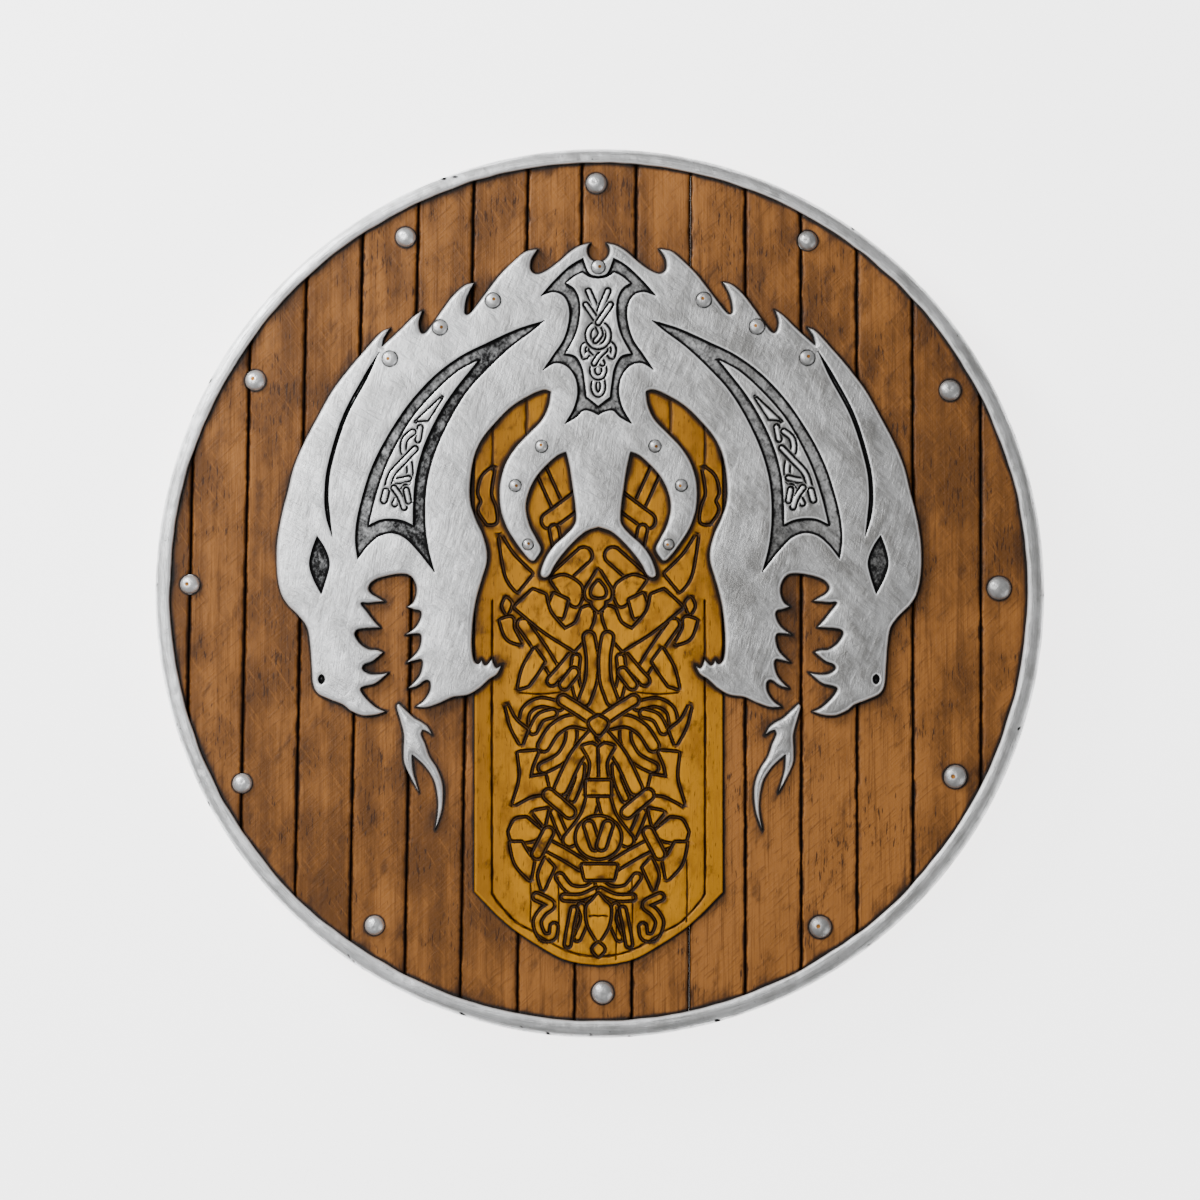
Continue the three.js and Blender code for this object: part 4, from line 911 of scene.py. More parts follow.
# Cast and hand-rubbed silver-grey metal: clouds, broad wipes and fine strokes that cross, darker to the right as
# painted shade, with bright edges that are partly rubbed and partly painted highlight, and a black wash in the sunk
# parts that is partly painted shade. On the rim the strokes run round it.
def worn_silver(metal, name="worn_silver", turn=0.0, wear=1.0, pits=False, rim=False):
    material, tree, shader, place = new_material(name)
    parts = add(tree, "SeparateXYZ", {"Vector": place}, out="X").node.outputs
    if rim:  # strokes laid out by the distance from the middle
        flat = add(tree, "VectorMath", {0: place, 1: (1, 1, 0)}, operation="MULTIPLY")
        reach = add(tree, "VectorMath", {0: flat}, out="Value", operation="LENGTH")
        slow = add(tree, "Math", {0: parts["Y"], 1: 0.05}, operation="MULTIPLY")
        drawn = add(tree, "CombineXYZ", {"X": reach, "Y": parts["X"], "Z": slow})
        wipes = strokes(tree, drawn, 3, 60, detail=6)
        brush = strokes(tree, drawn, 0.7, 34, detail=4, shift=6)
    else:  # strokes one way here and another way there
        here = add(tree, "MapRange", {0: strokes(tree, place, 26, 26, shift=12), 1: 0.42, 2: 0.58}, **SMOOTH)
        wipes = add(tree, "Mix", {0: here, 2: strokes(tree, place, 4, 30, turn=turn + 20, detail=6),
                                  3: strokes(tree, place, 4, 26, turn=turn - 42, detail=6, shift=8)})
        here = add(tree, "MapRange", {0: strokes(tree, place, 18, 18, shift=17), 1: 0.44, 2: 0.56}, **SMOOTH)
        brush = add(tree, "Mix", {0: here, 2: strokes(tree, place, 0.9, 24, turn=turn + 8, detail=3),
                                  3: strokes(tree, place, 0.9, 26, turn=turn - 60, detail=3, shift=6)})
    cloud = strokes(tree, place, 18, 30, turn=-35, shift=4, detail=5)
    specks = strokes(tree, place, 1.6, 2.2, turn=30, shift=15)
    mottle = strokes(tree, place, 4, 6, turn=-30, detail=5, shift=19)
    wash_and_shade = add(tree, "Attribute", **WASH_AND_SHADE)
    rub_and_highlight = add(tree, "Attribute", **RUB_AND_HIGHLIGHT)
    # Tarnish by the wipes, clouds and mottle, and painted shade that darkens the metal more to the right.
    dull = add(tree, "Math", {0: wipes, 1: 0.7, 2: cloud}, **SUM)
    dull = add(tree, "Math", {0: mottle, 1: 0.2, 2: dull}, **SUM)
    side = add(tree, "MapRange", {0: parts["X"], 1: -0.2, 2: 0.13, 3: -0.08, 4: 0.32 if rim else 0.5}, **SMOOTH)
    share = add(tree, "MapRange", {0: dull, 1: 0.72, 2: 1.18}, **SMOOTH)
    share = add(tree, "Math", {0: share, 1: 0.5 * min(wear, 1.0), 2: side}, **SUM)
    colour = add(tree, "Mix", {0: share, 6: metal.silver, 7: metal.tarnish_and_shade}, **PAINT)
    # Brush marks and specks, then a near-white painted highlight, partly rubbing, along the edges.
    colour = coats(tree, colour, (brush, 0.52, 0.7, 0, 0.32 * wear, metal.scratch),
                   (specks, 0.66, 0.74, 0, 0.6 * wear, metal.scratch), (rub_and_highlight, 0.1, 1.0, 0, 0.9, linear("#F4F5F6")))
    # The wash, partly painted shade in the sunk parts and at the feet of raised ones, torn by the mottle and specks so
    # that its edge isn't smooth, dulls the metal too.
    torn = add(tree, "Math", {0: mottle, 1: 0.5, 2: wash_and_shade}, **SUM)
    torn = add(tree, "Math", {0: specks, 1: 0.4, 2: torn}, **SUM)
    dark = add(tree, "MapRange", {0: torn, 1: 0.68, 2: 1.18}, **SMOOTH)
    colour = add(tree, "Mix", {0: dark, 6: colour, 7: metal.wash_and_shade}, **PAINT)
    if pits:
        pit = add(tree, "Attribute", **PIT)
        colour = coats(tree, colour, (pit, 0.2, 0.5, 0, 1, metal.pit))
    bumps = add(tree, "Math", {0: wipes, 1: 2.5, 2: brush}, **SUM)
    bumps = add(tree, "Math", {0: cloud, 1: 6.0, 2: bumps}, **SUM)
    bumps = add(tree, "Math", {0: specks, 1: 0.7, 2: bumps}, **SUM)
    bare = add(tree, "MapRange", {0: dark, 1: 0, 2: 1, 3: 0.8, 4: 0.0}, **SMOOTH)
    sheen = add(tree, "MapRange", {0: rub_and_highlight, 1: 0.2, 2: 1.0, 3: 1, 4: 0.25}, **SMOOTH)
    sheen = add(tree, "Math", {0: bare, 1: sheen}, operation="MULTIPLY")
    rough = add(tree, "MapRange", {0: brush, 1: 0.3, 2: 0.7, 3: 0.32, 4: 0.5}, **SMOOTH)
    rough = add(tree, "Math", {0: dark, 1: 0.35, 2: rough}, **SUM)
    finish_with(tree, shader, Base_Color=colour, Metallic=sheen, Roughness=rough, Specular_IOR_Level=0.15,
                Normal=add(tree, "Bump", {"Height": bumps, "Distance": 0.3 * MM, "Strength": 0.55}))
    return material


# Brown vegetable-tanned leather: a pebbled grain, darker along its cut edges, a low sheen.
def brown_leather():
    material, tree, shader, place = new_material("brown_leather")
    wash_and_shade = add(tree, "Attribute", **WASH_AND_SHADE)
    scaled = add(tree, "Mapping", {"Vector": place, "Scale": (1 / (1.6 * MM),) * 3})
    pebbles = add(tree, "TexVoronoi", {"Vector": scaled, "Scale": 1.0}, feature="SMOOTH_F1")
    cloud = strokes(tree, place, 14, 22)
    colour = coats(tree, linear("#6B4127"), (cloud, 0.35, 0.65, 0, 1, linear("#47291A")),
                   (wash_and_shade, 0.1, 0.9, 0, 1, linear("#1E110A")))
    finish_with(tree, shader, Base_Color=colour,
                Roughness=add(tree, "MapRange", {0: cloud, 1: 0.3, 2: 0.7, 3: 0.48, 4: 0.62}, **SMOOTH), IOR=1.48,
                Normal=add(tree, "Bump", {"Height": pebbles, "Distance": 0.25 * MM, "Strength": 0.5}))
    return material


# Waxed linen thread: pale, matt, twisted.
def linen_thread():
    material, tree, shader, place = new_material("linen_thread")
    twist = strokes(tree, place, 0.5, 1.4, turn=35)
    colour = coats(tree, linear("#CDB98F"), (twist, 0.4, 0.6, 0, 1, linear("#8F7A52")))
    finish_with(tree, shader, Base_Color=colour, Roughness=0.8, IOR=1.5,
                Normal=add(tree, "Bump", {"Height": twist, "Distance": 0.1 * MM, "Strength": 0.5}))
    return material


# A matt white studio floor, lit evenly from within, less so under the shield, and clear from below, so that the back
# of the shield can be looked at.
def studio_floor(stage):
    material, tree, shader, place = new_material("studio_floor")
    cloud = strokes(tree, place, 400, 400)
    colour = coats(tree, stage.floor, (cloud, 0.3, 0.7, 0, 0.15, linear("#F0F0F0")))
    reach = add(tree, "VectorMath", {0: place}, out="Value", operation="LENGTH")
    glow = add(tree, "MapRange", {0: reach, 1: 0.2, 2: 0.31, 3: 0.9, 4: stage.glow}, **SMOOTH)
    finish_with(tree, shader, Base_Color=colour, Roughness=0.9, IOR=1.45, Emission_Color=stage.floor,
                Emission_Strength=glow)
    below = add(tree, "NewGeometry", out="Backfacing")
    surface = add(tree, "MixShader", {0: below, 1: shader.outputs[0], 2: add(tree, "BsdfTransparent")})
    tree.links.new(surface, tree.nodes["Material Output"].inputs["Surface"])
    return material


# ---------------------------------------------------------------- the boards


BOARDS = 16
FIRST_JOINT, BOARD_WIDTH, LAST_JOINT = -282, 38.3, 262.5  # the last board is broader
JOINT_GAP = 0.02  # a board all but touches its neighbour below the worn edges
BOARD_REACH = SHIELD_RADIUS - 3.4
RIVET_CIRCLE = 278.5
# Set one by one, so each is a little off its even twelfth of the circle: degrees round, millimetres out.
RIVET_DRIFT = [(0.5, -3.5), (-0.2, 0), (-0.8, 3), (0.3, 3.5), (-1.5, 0.5), (-1.7, 0), (-1.1, 3.5), (-1.8, 0),
               (-3.9, -2.5), (0.6, -3.5), (3.5, -3), (2.6, -3)]
RIVET_RADII = [8.1, 7.4, 6.9, 7.1, 7.0, 7.2, 6.8, 6.8, 6.8, 7.7, 7.7, 8.1]
WORN_RIVETS = (5, 6, 10, 11)  # those whose pit shows the ground


def rivet_places():
    """Where each rim rivet is, and the radius of its head."""
    for i, ((turn, out), radius) in enumerate(zip(RIVET_DRIFT, RIVET_RADII)):
        angle = math.radians(30 * i + turn)
        yield (RIVET_CIRCLE + out) * math.cos(angle), (RIVET_CIRCLE + out) * math.sin(angle), radius


def joint(i):
    """Where a joint crosses the middle, and how much it leans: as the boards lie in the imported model."""
    if i in (0, BOARDS):
        return (-SHIELD_RADIUS if i == 0 else SHIELD_RADIUS), 0.0
    x = LAST_JOINT if i == BOARDS - 1 else FIRST_JOINT + BOARD_WIDTH * (i - 1)
    return x, min(0.017, max(0.001, 0.008 - 0.00009 * x))


def rim_inner(angle):
    """The rim's inner edge, hammered down by hand: broader below and on the right, and never quite even."""
    wave = noise.noise(Vector((5 * math.cos(angle), 5 * math.sin(angle), 3.1)))
    nick = noise.noise(Vector((22 * math.cos(angle), 22 * math.sin(angle), 8.3)))
    return RIM_INNER + 1.3 * math.cos(angle - math.radians(125)) + 0.9 * wave + 0.5 * nick


def shade_and_wash_beside(off, line, line_width, stain, stain_width, blots):
    """The dark at distances off a fitting: a dark line at its foot, which is painted shade, and a blotted stain beyond
    it that is partly wash and partly painted shade.
    """
    return np.clip(line - off / line_width, 0, 1) + stain * np.exp(-off / stain_width) * blots


def joint_line(i, side, step=1.5):
    """One face of a joint, from foot to top, on a side of it."""
    x, slope = joint(i)
    ends = []
    for way in (-1, 1):
        y = 0.0
        for _ in range(6):  # closes in on the place where the joint meets the round edge
            y = way * math.sqrt(BOARD_REACH**2 - (x + slope * y + side * JOINT_GAP) ** 2)
        ends.append(y)
    y = np.linspace(*ends, max(2, round((ends[1] - ends[0]) / step)))
    return np.column_stack([x + slope * y + side * JOINT_GAP, y])


def arc_between(start, end):
    """The boards' round edge from one place to another, counterclockwise, without its ends."""
    a, b = math.atan2(start[1], start[0]), math.atan2(end[1], end[0])
    if b < a:
        b += 2 * math.pi
    return BOARD_REACH * compass(np.linspace(a, b, max(3, round((b - a) * BOARD_REACH / 2.5)))[1:-1])


def board_outline(i):
    """Counterclockwise: up the joint on the right, round the top, down the joint on the left, round the foot."""
    sides = []
    if i < BOARDS - 1:
        sides.append(joint_line(i + 1, -1))
    if i > 0:
        sides.append(joint_line(i, 1)[::-1])
    ends = [arc_between(side[-1], after[0]) for side, after in zip(sides, sides[1:] + sides[:1])]
    return np.vstack([part for pair in zip(sides, ends) for part in pair])


def board_marks():
    """Rows of places round whatever lies on the boards, so that the dark wash follows it closely."""
    rows = both_sides([plate_outline(), *two_sides(FLAME_RUNS, 0.8), panel_outline()],
                      (0.3, 1.0, 1.9, 3.1, 4.8, 7.5))
    turns = np.linspace(0, 2 * math.pi, 1500, endpoint=False)
    inner = np.array([rim_inner(turn) for turn in turns])
    rows += [(inner - d)[:, None] * compass(turns) for d in (-1, 0.3, 1.0, 1.9, 3.0, 4.6, 7.0)]
    for x, y, radius in rivet_places():
        rows += circles(x, y, radius + np.array([-0.6, 0.1, 0.8, 1.6, 2.8, 4.8]), 6)
    return np.vstack(rows)


def build_board(i, wood, pine, fitted, seed):
    """One board, worn along its joints, with the dark wash that lies beside its neighbours and the fittings."""
    outline = board_outline(i)
    silver, panel = np.vstack([plate_outline(), *two_sides(FLAME_RUNS)]), panel_outline()
    low, high = outline.min(0) - 0.5, outline.max(0) + 0.5
    rows = [fitted[((fitted > low) & (fitted < high)).all(1)]]
    sides = [(side, number) for side, number in ((1, i), (-1, i + 1)) if 0 < number < BOARDS]
    for side, number in sides:
        rows += [beside(joint_line(number, side), -side * d) for d in (0.3, 0.7, 1.2, 1.8, 2.6, 3.8)]

    def shape(at):
        gaps = {1: np.full(len(at), 1e3), -1: np.full(len(at), 1e3)}
        for side, number in sides:
            x, slope = joint(number)
            gaps[side] = side * (at[:, 0] - x - slope * at[:, 1])
        side = np.maximum(np.minimum(gaps[1], gaps[-1]), 0)
        own_wear = np.where(gaps[1] < gaps[-1], 0, 500) + 37.0 * i  # each side of each board wears its own way
        along = np.column_stack([own_wear, at[:, 1]])
        ragged = 1 + 0.6 * ripple(along, (9, 11), seed) + 0.4 * ripple(along, (2.5, 3), seed)
        worn = wood.chamfer / MM * np.clip(ragged, 0.4, 2.2)
        drop = wood.chamfer_depth / MM * (1 - np.clip(side / worn, 0, 1) ** 0.7)
        waves = wood.waviness / MM * swell(at, (24, 90), seed + i)
        saw = 0.14 * swell(at, (5, 30), seed + i)
        to_rim = np.array([rim_inner(turn) for turn in np.arctan2(at[:, 1], at[:, 0])]) - np.hypot(*at.T)
        to_rivet = np.min([np.hypot(at[:, 0] - x, at[:, 1] - y) - r for x, y, r in rivet_places()], axis=0)
        blots = np.clip(0.55 + 0.9 * ripple(at, (14, 22), seed + 40), 0, 1.2)
        # Wash in the joints and a stain beside them; then beside the rim, the rivets, the silver and the panel a dark
        # line at the foot, which is painted shade, and a blotted stain beyond it, partly painted shade.
        layers = [np.clip(1.3 - side / (0.82 * worn), 0, 1), 0.44 * np.exp(-side / 4.5) * blots,
                  shade_and_wash_beside(np.maximum(to_rim, 0), 1.15, 2.0, 0.7, 10, blots),
                  shade_and_wash_beside(np.maximum(to_rivet, 0), 1.1, 1.1, 0.55, 4.5, blots),
                  shade_and_wash_beside(nearest(at, silver)[1], 1.1, 1.5, 0.62, 11, blots),
                  shade_and_wash_beside(nearest(at, panel)[1], 1.0, 2.0, 0.5, 8, blots)]
        # Darker on the left as painted shade, where the key light falls brightest, and paler below on the right as
        # painted light; darker above on the right, along the right edge and below on the left, and no two boards quite
        # alike.
        tone_and_shade = 0.13 - 0.12 * at[:, 0] / SHIELD_RADIUS + 0.26 * spot(at, 140, 120, 120, 130)
        tone_and_shade = tone_and_shade - 0.24 * spot(at, 130, -170, 110, 110) + 0.08 * math.sin(i * 4.1 + 1)
        tone_and_shade += 0.16 * hump(at[:, 0], 275, 45)
        tone_and_shade += 0.14 * spot(at, -150, -190, 60, 70)
        return FACE_Z - AIR - drop - waves - saw, np.clip(np.max(layers, axis=0), 0, 1.1), tone_and_shade

    def foot(under):
        edge = np.clip(1 - distance(under, outline, True) / 1.0, 0, 1)
        return BACK_Z + AIR + 0.8 * edge, edge

    relief(f"stained_board_{i + 1:02d}", outline, rows, 3.6, shape, pine, [f"board_{i + 1:02d}"], 50, foot,
           steps=[beside(outline, d, True) for d in (-1.0, 1.0)], mark="tone_and_shade")


# ---------------------------------------------------------------- turned pieces


def turned(bm, profile, steps, x=0.0, y=0.0):
    """Spins a profile of (radius, height) in millimetres about an upright axis, closed where it meets the axis."""
    made = [bm.verts.new((x * MM + r * MM, y * MM, z * MM)) for r, z in profile]
    edges = [bm.edges.new(pair) for pair in zip(made, made[1:])]
    bmesh.ops.spin(bm, geom=made + edges, cent=(x * MM, y * MM, 0), axis=(0, 0, 1), dvec=(0, 0, 0),
                   angle=2 * math.pi, steps=steps, use_merge=True, use_duplicate=False)
    bmesh.ops.remove_doubles(bm, verts=bm.verts, dist=WELD)


def dome(radius, height, seat):
    """The upper curve of a round head with a slightly flat top, from the axis out to its edge."""
    return [(0.0 if i == 0 else radius * math.cos(turn), seat + height * math.sin(turn) ** 0.88)
            for i, turn in enumerate(np.linspace(math.pi / 2, 0, 12))]


def build_head(name, node, x, y, radius, height, seat, lower, material, seed, worn=1.0):
    """A hammered round head on whatever lies below it, with a small pit near its top, bare where it is worn."""
    bm = bmesh.new()
    turned(bm, dome(radius, height, seat) + lower, 40, x, y)
    pit_turn = 6.28 * noise.random()
    pit_x, pit_y = 0.22 * radius * math.cos(pit_turn), 0.22 * radius * math.sin(pit_turn)
    squash = 0.05 * noise.random()
    lean = 3.14 * noise.random()
    wash_and_shade_layer = bm.verts.layers.float.new("wash_and_shade")
    pitted = bm.verts.layers.float.new("pit")
    for v in bm.verts:
        px, py, z = v.co.x / MM - x, v.co.y / MM - y, v.co.z / MM
        if z > seat - 0.01:
            pressed = squash * (px * math.cos(lean) + py * math.sin(lean))
            px -= pressed * math.cos(lean)
            py -= pressed * math.sin(lean)
            off = math.hypot(px - pit_x, py - pit_y) / (0.1 * radius + 0.6)
            z -= 0.09 * height * math.exp(-off * off)
            z -= 0.06 * height * (0.5 + 0.5 * noise.noise(Vector((px / 3, py / 3, seed))))
            v[pitted] = worn * math.exp(-off * off * 0.9)
            # A dark ring round the edge of the dome: painted shade at its foot.
            v[wash_and_shade_layer] = max(0.0, (math.hypot(px, py) / radius - 0.9) * 6)
            v.co = ((px + x) * MM, (py + y) * MM, max(z, seat) * MM)
    add_piece(name, bm, material, [node], 60)


# ---------------------------------------------------------------- operators


def settings():
    """The shield's own settings, kept in the scene."""
    return bpy.context.scene.shield


class Piece:
    """What the operators share."""
    bl_options = {"REGISTER", "UNDO"}


class SHIELD_OT_boards(Piece, bpy.types.Operator):
    """Sixteen stained boards with worn joints"""
    bl_idname = "shield.boards"
    bl_label = "Boards"

    def execute(self, context):
        wood = settings().wood
        pine, fitted = stained_pine(wood), board_marks()
        for i in range(BOARDS):
            build_board(i, wood, pine, fitted, settings().seed)
        return {"FINISHED"}


class SHIELD_OT_rim(Piece, bpy.types.Operator):
    """The silver rim, with a lip behind and a hammered inner edge"""
    bl_idname = "shield.rim"
    bl_label = "Rim"

    def execute(self, context):
        bore, r, crest = RIM_INNER, SHIELD_RADIUS, FACE_Z + 4
        lip = r - 3.2  # the front's lip over the boards starts here
        front = [(bore, FACE_Z - 0.2), (bore, FACE_Z + 2.2), (bore + 0.35, FACE_Z + 3.0), (bore + 1.0, FACE_Z + 3.6),
                 (bore + 2.2, crest - 0.1), (bore + 4.2, crest), (bore + 6.2, crest - 0.35), (r - 3.0, crest - 0.9),
                 (r - 1.6, crest - 1.9), (r - 0.6, crest - 3.2), (r - 0.1, crest - 4.6), (r, crest - 6)]
        back = [(r, BACK_Z + 4), (r, BACK_Z - 0.5), (r - 0.3, BACK_Z - 1.6), (r - 1.0, BACK_Z - 2.3),
                (r - 2.4, BACK_Z - 2.5), (bore + 1.2, BACK_Z - 2.4), (bore + 0.3, BACK_Z - 1.8), (bore, BACK_Z - 0.8)]
        within = [(bore, BACK_Z - 0.05), (r - 3.0, BACK_Z - 0.05), (r - 3.0, FACE_Z - 0.2), (bore, FACE_Z - 0.2)]
        bm = bmesh.new()
        turned(bm, front + back + within, 720)
        wash_and_shade_layer = bm.verts.layers.float.new("wash_and_shade")
        rub_and_highlight_layer = bm.verts.layers.float.new("rub_and_highlight")
        for v in bm.verts:
            x, y, z = v.co.x / MM, v.co.y / MM, v.co.z / MM
            out, angle = math.hypot(x, y), math.atan2(y, x)
            if z > FACE_Z - 1 and out < lip:  # uneven at its edge, and dented
                share = (lip - out) / (lip - bore)
                out += share * (rim_inner(angle) - bore)
                z -= 0.5 * max(0.0, noise.noise(Vector((x / 9, y / 9, z / 9)))) * (z > FACE_Z + 2)
            if out > r - 4:  # dents round the outside
                out -= 0.55 * max(0.0, noise.noise(Vector((x / 5, y / 5, z / 12))) - 0.12)
            bite = max(0.0, noise.noise(Vector((x / 4, y / 4, 20.0))) - 0.4)
            if z > FACE_Z + 1.5:  # nicks in the top, which hold wash
                z -= 3.0 * bite
            at_boards, upper = z > FACE_Z - 1, z > FACE_Z + 2
            # Dark at the foot of the inner wall against the boards, a painted shade; in the nicks, a wash; and a band
            # round the outer side, a painted shade.
            wash_and_shade = max(0.0, 1 - (z - FACE_Z) / 1.6) if at_boards and out < r - 4 else 4.0 * bite * at_boards
            v[wash_and_shade_layer] = max(wash_and_shade, 0.55 * hump(z, crest - 5.5, 1.6) * (out > r - 3))
            # A painted highlight, partly rubbing, on the top beside the inner edge.
            v[rub_and_highlight_layer] = 0.9 * hump(out - rim_inner(angle), 0.9, 0.8) * upper
            v.co = (out * math.cos(angle) * MM, out * math.sin(angle) * MM, z * MM)
        add_piece("silver_rim", bm, worn_silver(settings().metal, "rim_silver_rubbed_and_highlit", wear=1.5, rim=True), ["rim"],
                  60)
        return {"FINISHED"}


class SHIELD_OT_rivets(Piece, bpy.types.Operator):
    """Twelve dome rivets round the edge, with their roves behind"""
    bl_idname = "shield.rivets"
    bl_label = "Rim rivets"

    def execute(self, context):
        noise.seed_set(settings().seed + 1)
        metal = worn_silver(settings().metal, "bright_rivet_silver", turn=20, wear=0.6, pits=True)
        shank_and_rove = [(2.5, FACE_Z - 0.6), (2.5, BACK_Z), (5.8, BACK_Z), (6, BACK_Z - 0.4), (5.2, BACK_Z - 1.0),
                          (2.6, BACK_Z - 1.4), (0, BACK_Z - 1.5)]
        for i, (x, y, radius) in enumerate(rivet_places()):
            node = f"rim_rivet_{i + 1:02d}"
            build_head("domed_" + node, node, x, y, radius, 5.8, FACE_Z - 0.5,
                       [(radius, FACE_Z - 0.6), *shank_and_rove], metal, i * 3.7, float(i in WORN_RIVETS))
        return {"FINISHED"}


# Where each stud is, and the radius of its head: the one in the middle, then each on the left and its like.
STUDS = [(side * x, y, radius) for x, y, radius in (
    (0, 223.5, 4.5), (-143.5, 160.5, 5), (-109, 182, 5), (-72.5, 200.5, 5), (-39, 100, 3.9), (-57, 73, 3.8),
    (-48.3, 32.5, 3.4)) for side in ((1, -1) if x else (1,))]


class SHIELD_OT_studs(Piece, bpy.types.Operator):
    """Thirteen low studs on the dragon plate"""
    bl_idname = "shield.studs"
    bl_label = "Plate studs"

    def execute(self, context):
        noise.seed_set(settings().seed + 2)
        metal = worn_silver(settings().metal, "stud_silver", turn=-15, wear=0.6, pits=True)
        for i, (x, y, radius) in enumerate(STUDS, 1):
            node = f"plate_stud_{i:02d}"
            build_head("round_" + node, node, x, y, radius, 2.3, PLATE_Z - 0.35,
                       [(radius, PLATE_Z - 0.6), (0, PLATE_Z - 0.6)], metal, i * 2.9)
        return {"FINISHED"}


class SHIELD_OT_panel(Piece, bpy.types.Operator):
    """The gilded panel with its carved interlace"""
    bl_idname = "shield.panel"
    bl_label = "Carved panel"

    def execute(self, context):
        gilding = settings().gilding
        outline, plate = panel_outline(), plate_outline()
        marks, seams = panel_marks(), panel_seams()
        g, edge = gilding.groove / MM, gilding.edge / MM
        rows = both_sides([outline, plate], (0.4, 0.85, 1.3, 2.2, 3.6))
        for mark in marks:
            rows += mark.rows((-1.0, -0.4, 0, 0.15 * g, 0.32 * g, 0.5 * g, 0.68 * g, 0.85 * g, g, g + 0.6))
        for line, width, _ in seams:
            rows += both_sides([line], [share * width for share in (0, 0.2, 0.4, 0.7)], False)

        def shape(at):
            # The interlace, with a painted highlight, partly rubbed gilding, beside its grooves where the wash isn't
            # smeared over, and a smeared halo of wash beside them that is partly painted shade.
            height, wash_and_shade = carve(at, marks, g, gilding.groove_depth / MM, 0.3)
            beyond = edge_distance(at, marks, g)
            smear = np.clip(0.5 + 0.9 * ripple(at, (6, 8), 52.0), 0, 1)
            wash_and_shade = np.maximum(wash_and_shade, 0.62 * np.exp(-beyond / 2.6) * smear)
            rub_and_highlight = np.clip(1.6 * (1 - np.minimum(beyond, 1.5) / 1.5), 0, 1) * (1 - 0.7 * smear)

            # The border grooves and the joints, ragged and streaky.
            ragged = 1 + 0.5 * ripple(at, (3, 7), 31.0)
            streaky = 0.75 + 0.35 * ripple(at, (4, 18), 12.0)
            for line, width, depth in seams:
                cut = np.clip(1 - distance(at, line) / (width / 2) / ragged, 0, 1)
                height = np.minimum(height, -depth * ease(cut))
                wash_and_shade = np.maximum(wash_and_shade, np.clip(1.8 * cut, 0, 1) * streaky)

            # The rounded edge of the panel, dark at its brink as painted shade and with a painted highlight, partly
            # rubbing, along it, and the stain beside the plate, which is partly a painted shadow of it.
            deep = distance(at, outline, True)
            fall = edge * (1 - quarter_round(deep / edge))
            wash_and_shade = np.maximum(wash_and_shade, 0.9 * np.clip(1 - deep / 0.7, 0, 1))
            rub_and_highlight = np.maximum(rub_and_highlight, hump(deep, 1.5, 0.7))
            blots = np.clip(0.6 + 0.8 * ripple(at, (9, 14), 44.0), 0, 1.2)
            wash_and_shade = np.maximum(wash_and_shade, shade_and_wash_beside(nearest(at, plate)[1], 1.15, 2.4, 0.66, 9, blots))
            dents = 0.22 * swell(at, (14, 30), 5.0) + 0.14 * swell(at, (4, 9), 8.0)
            return PANEL_Z - AIR + height - fall - dents, wash_and_shade, rub_and_highlight

        relief("gilded_panel", outline, rows, 2.6, shape, old_gold_paint(gilding), ["carved_panel"], 70)
        return {"FINISHED"}


# The middle of the channel in each crescent: at these heights, this far from the middle line.
CHANNEL_MIDDLE = (46, 64, 84, 103, 121, 138, 151, 160), (143, 140, 136, 129, 119, 106, 93, 82)


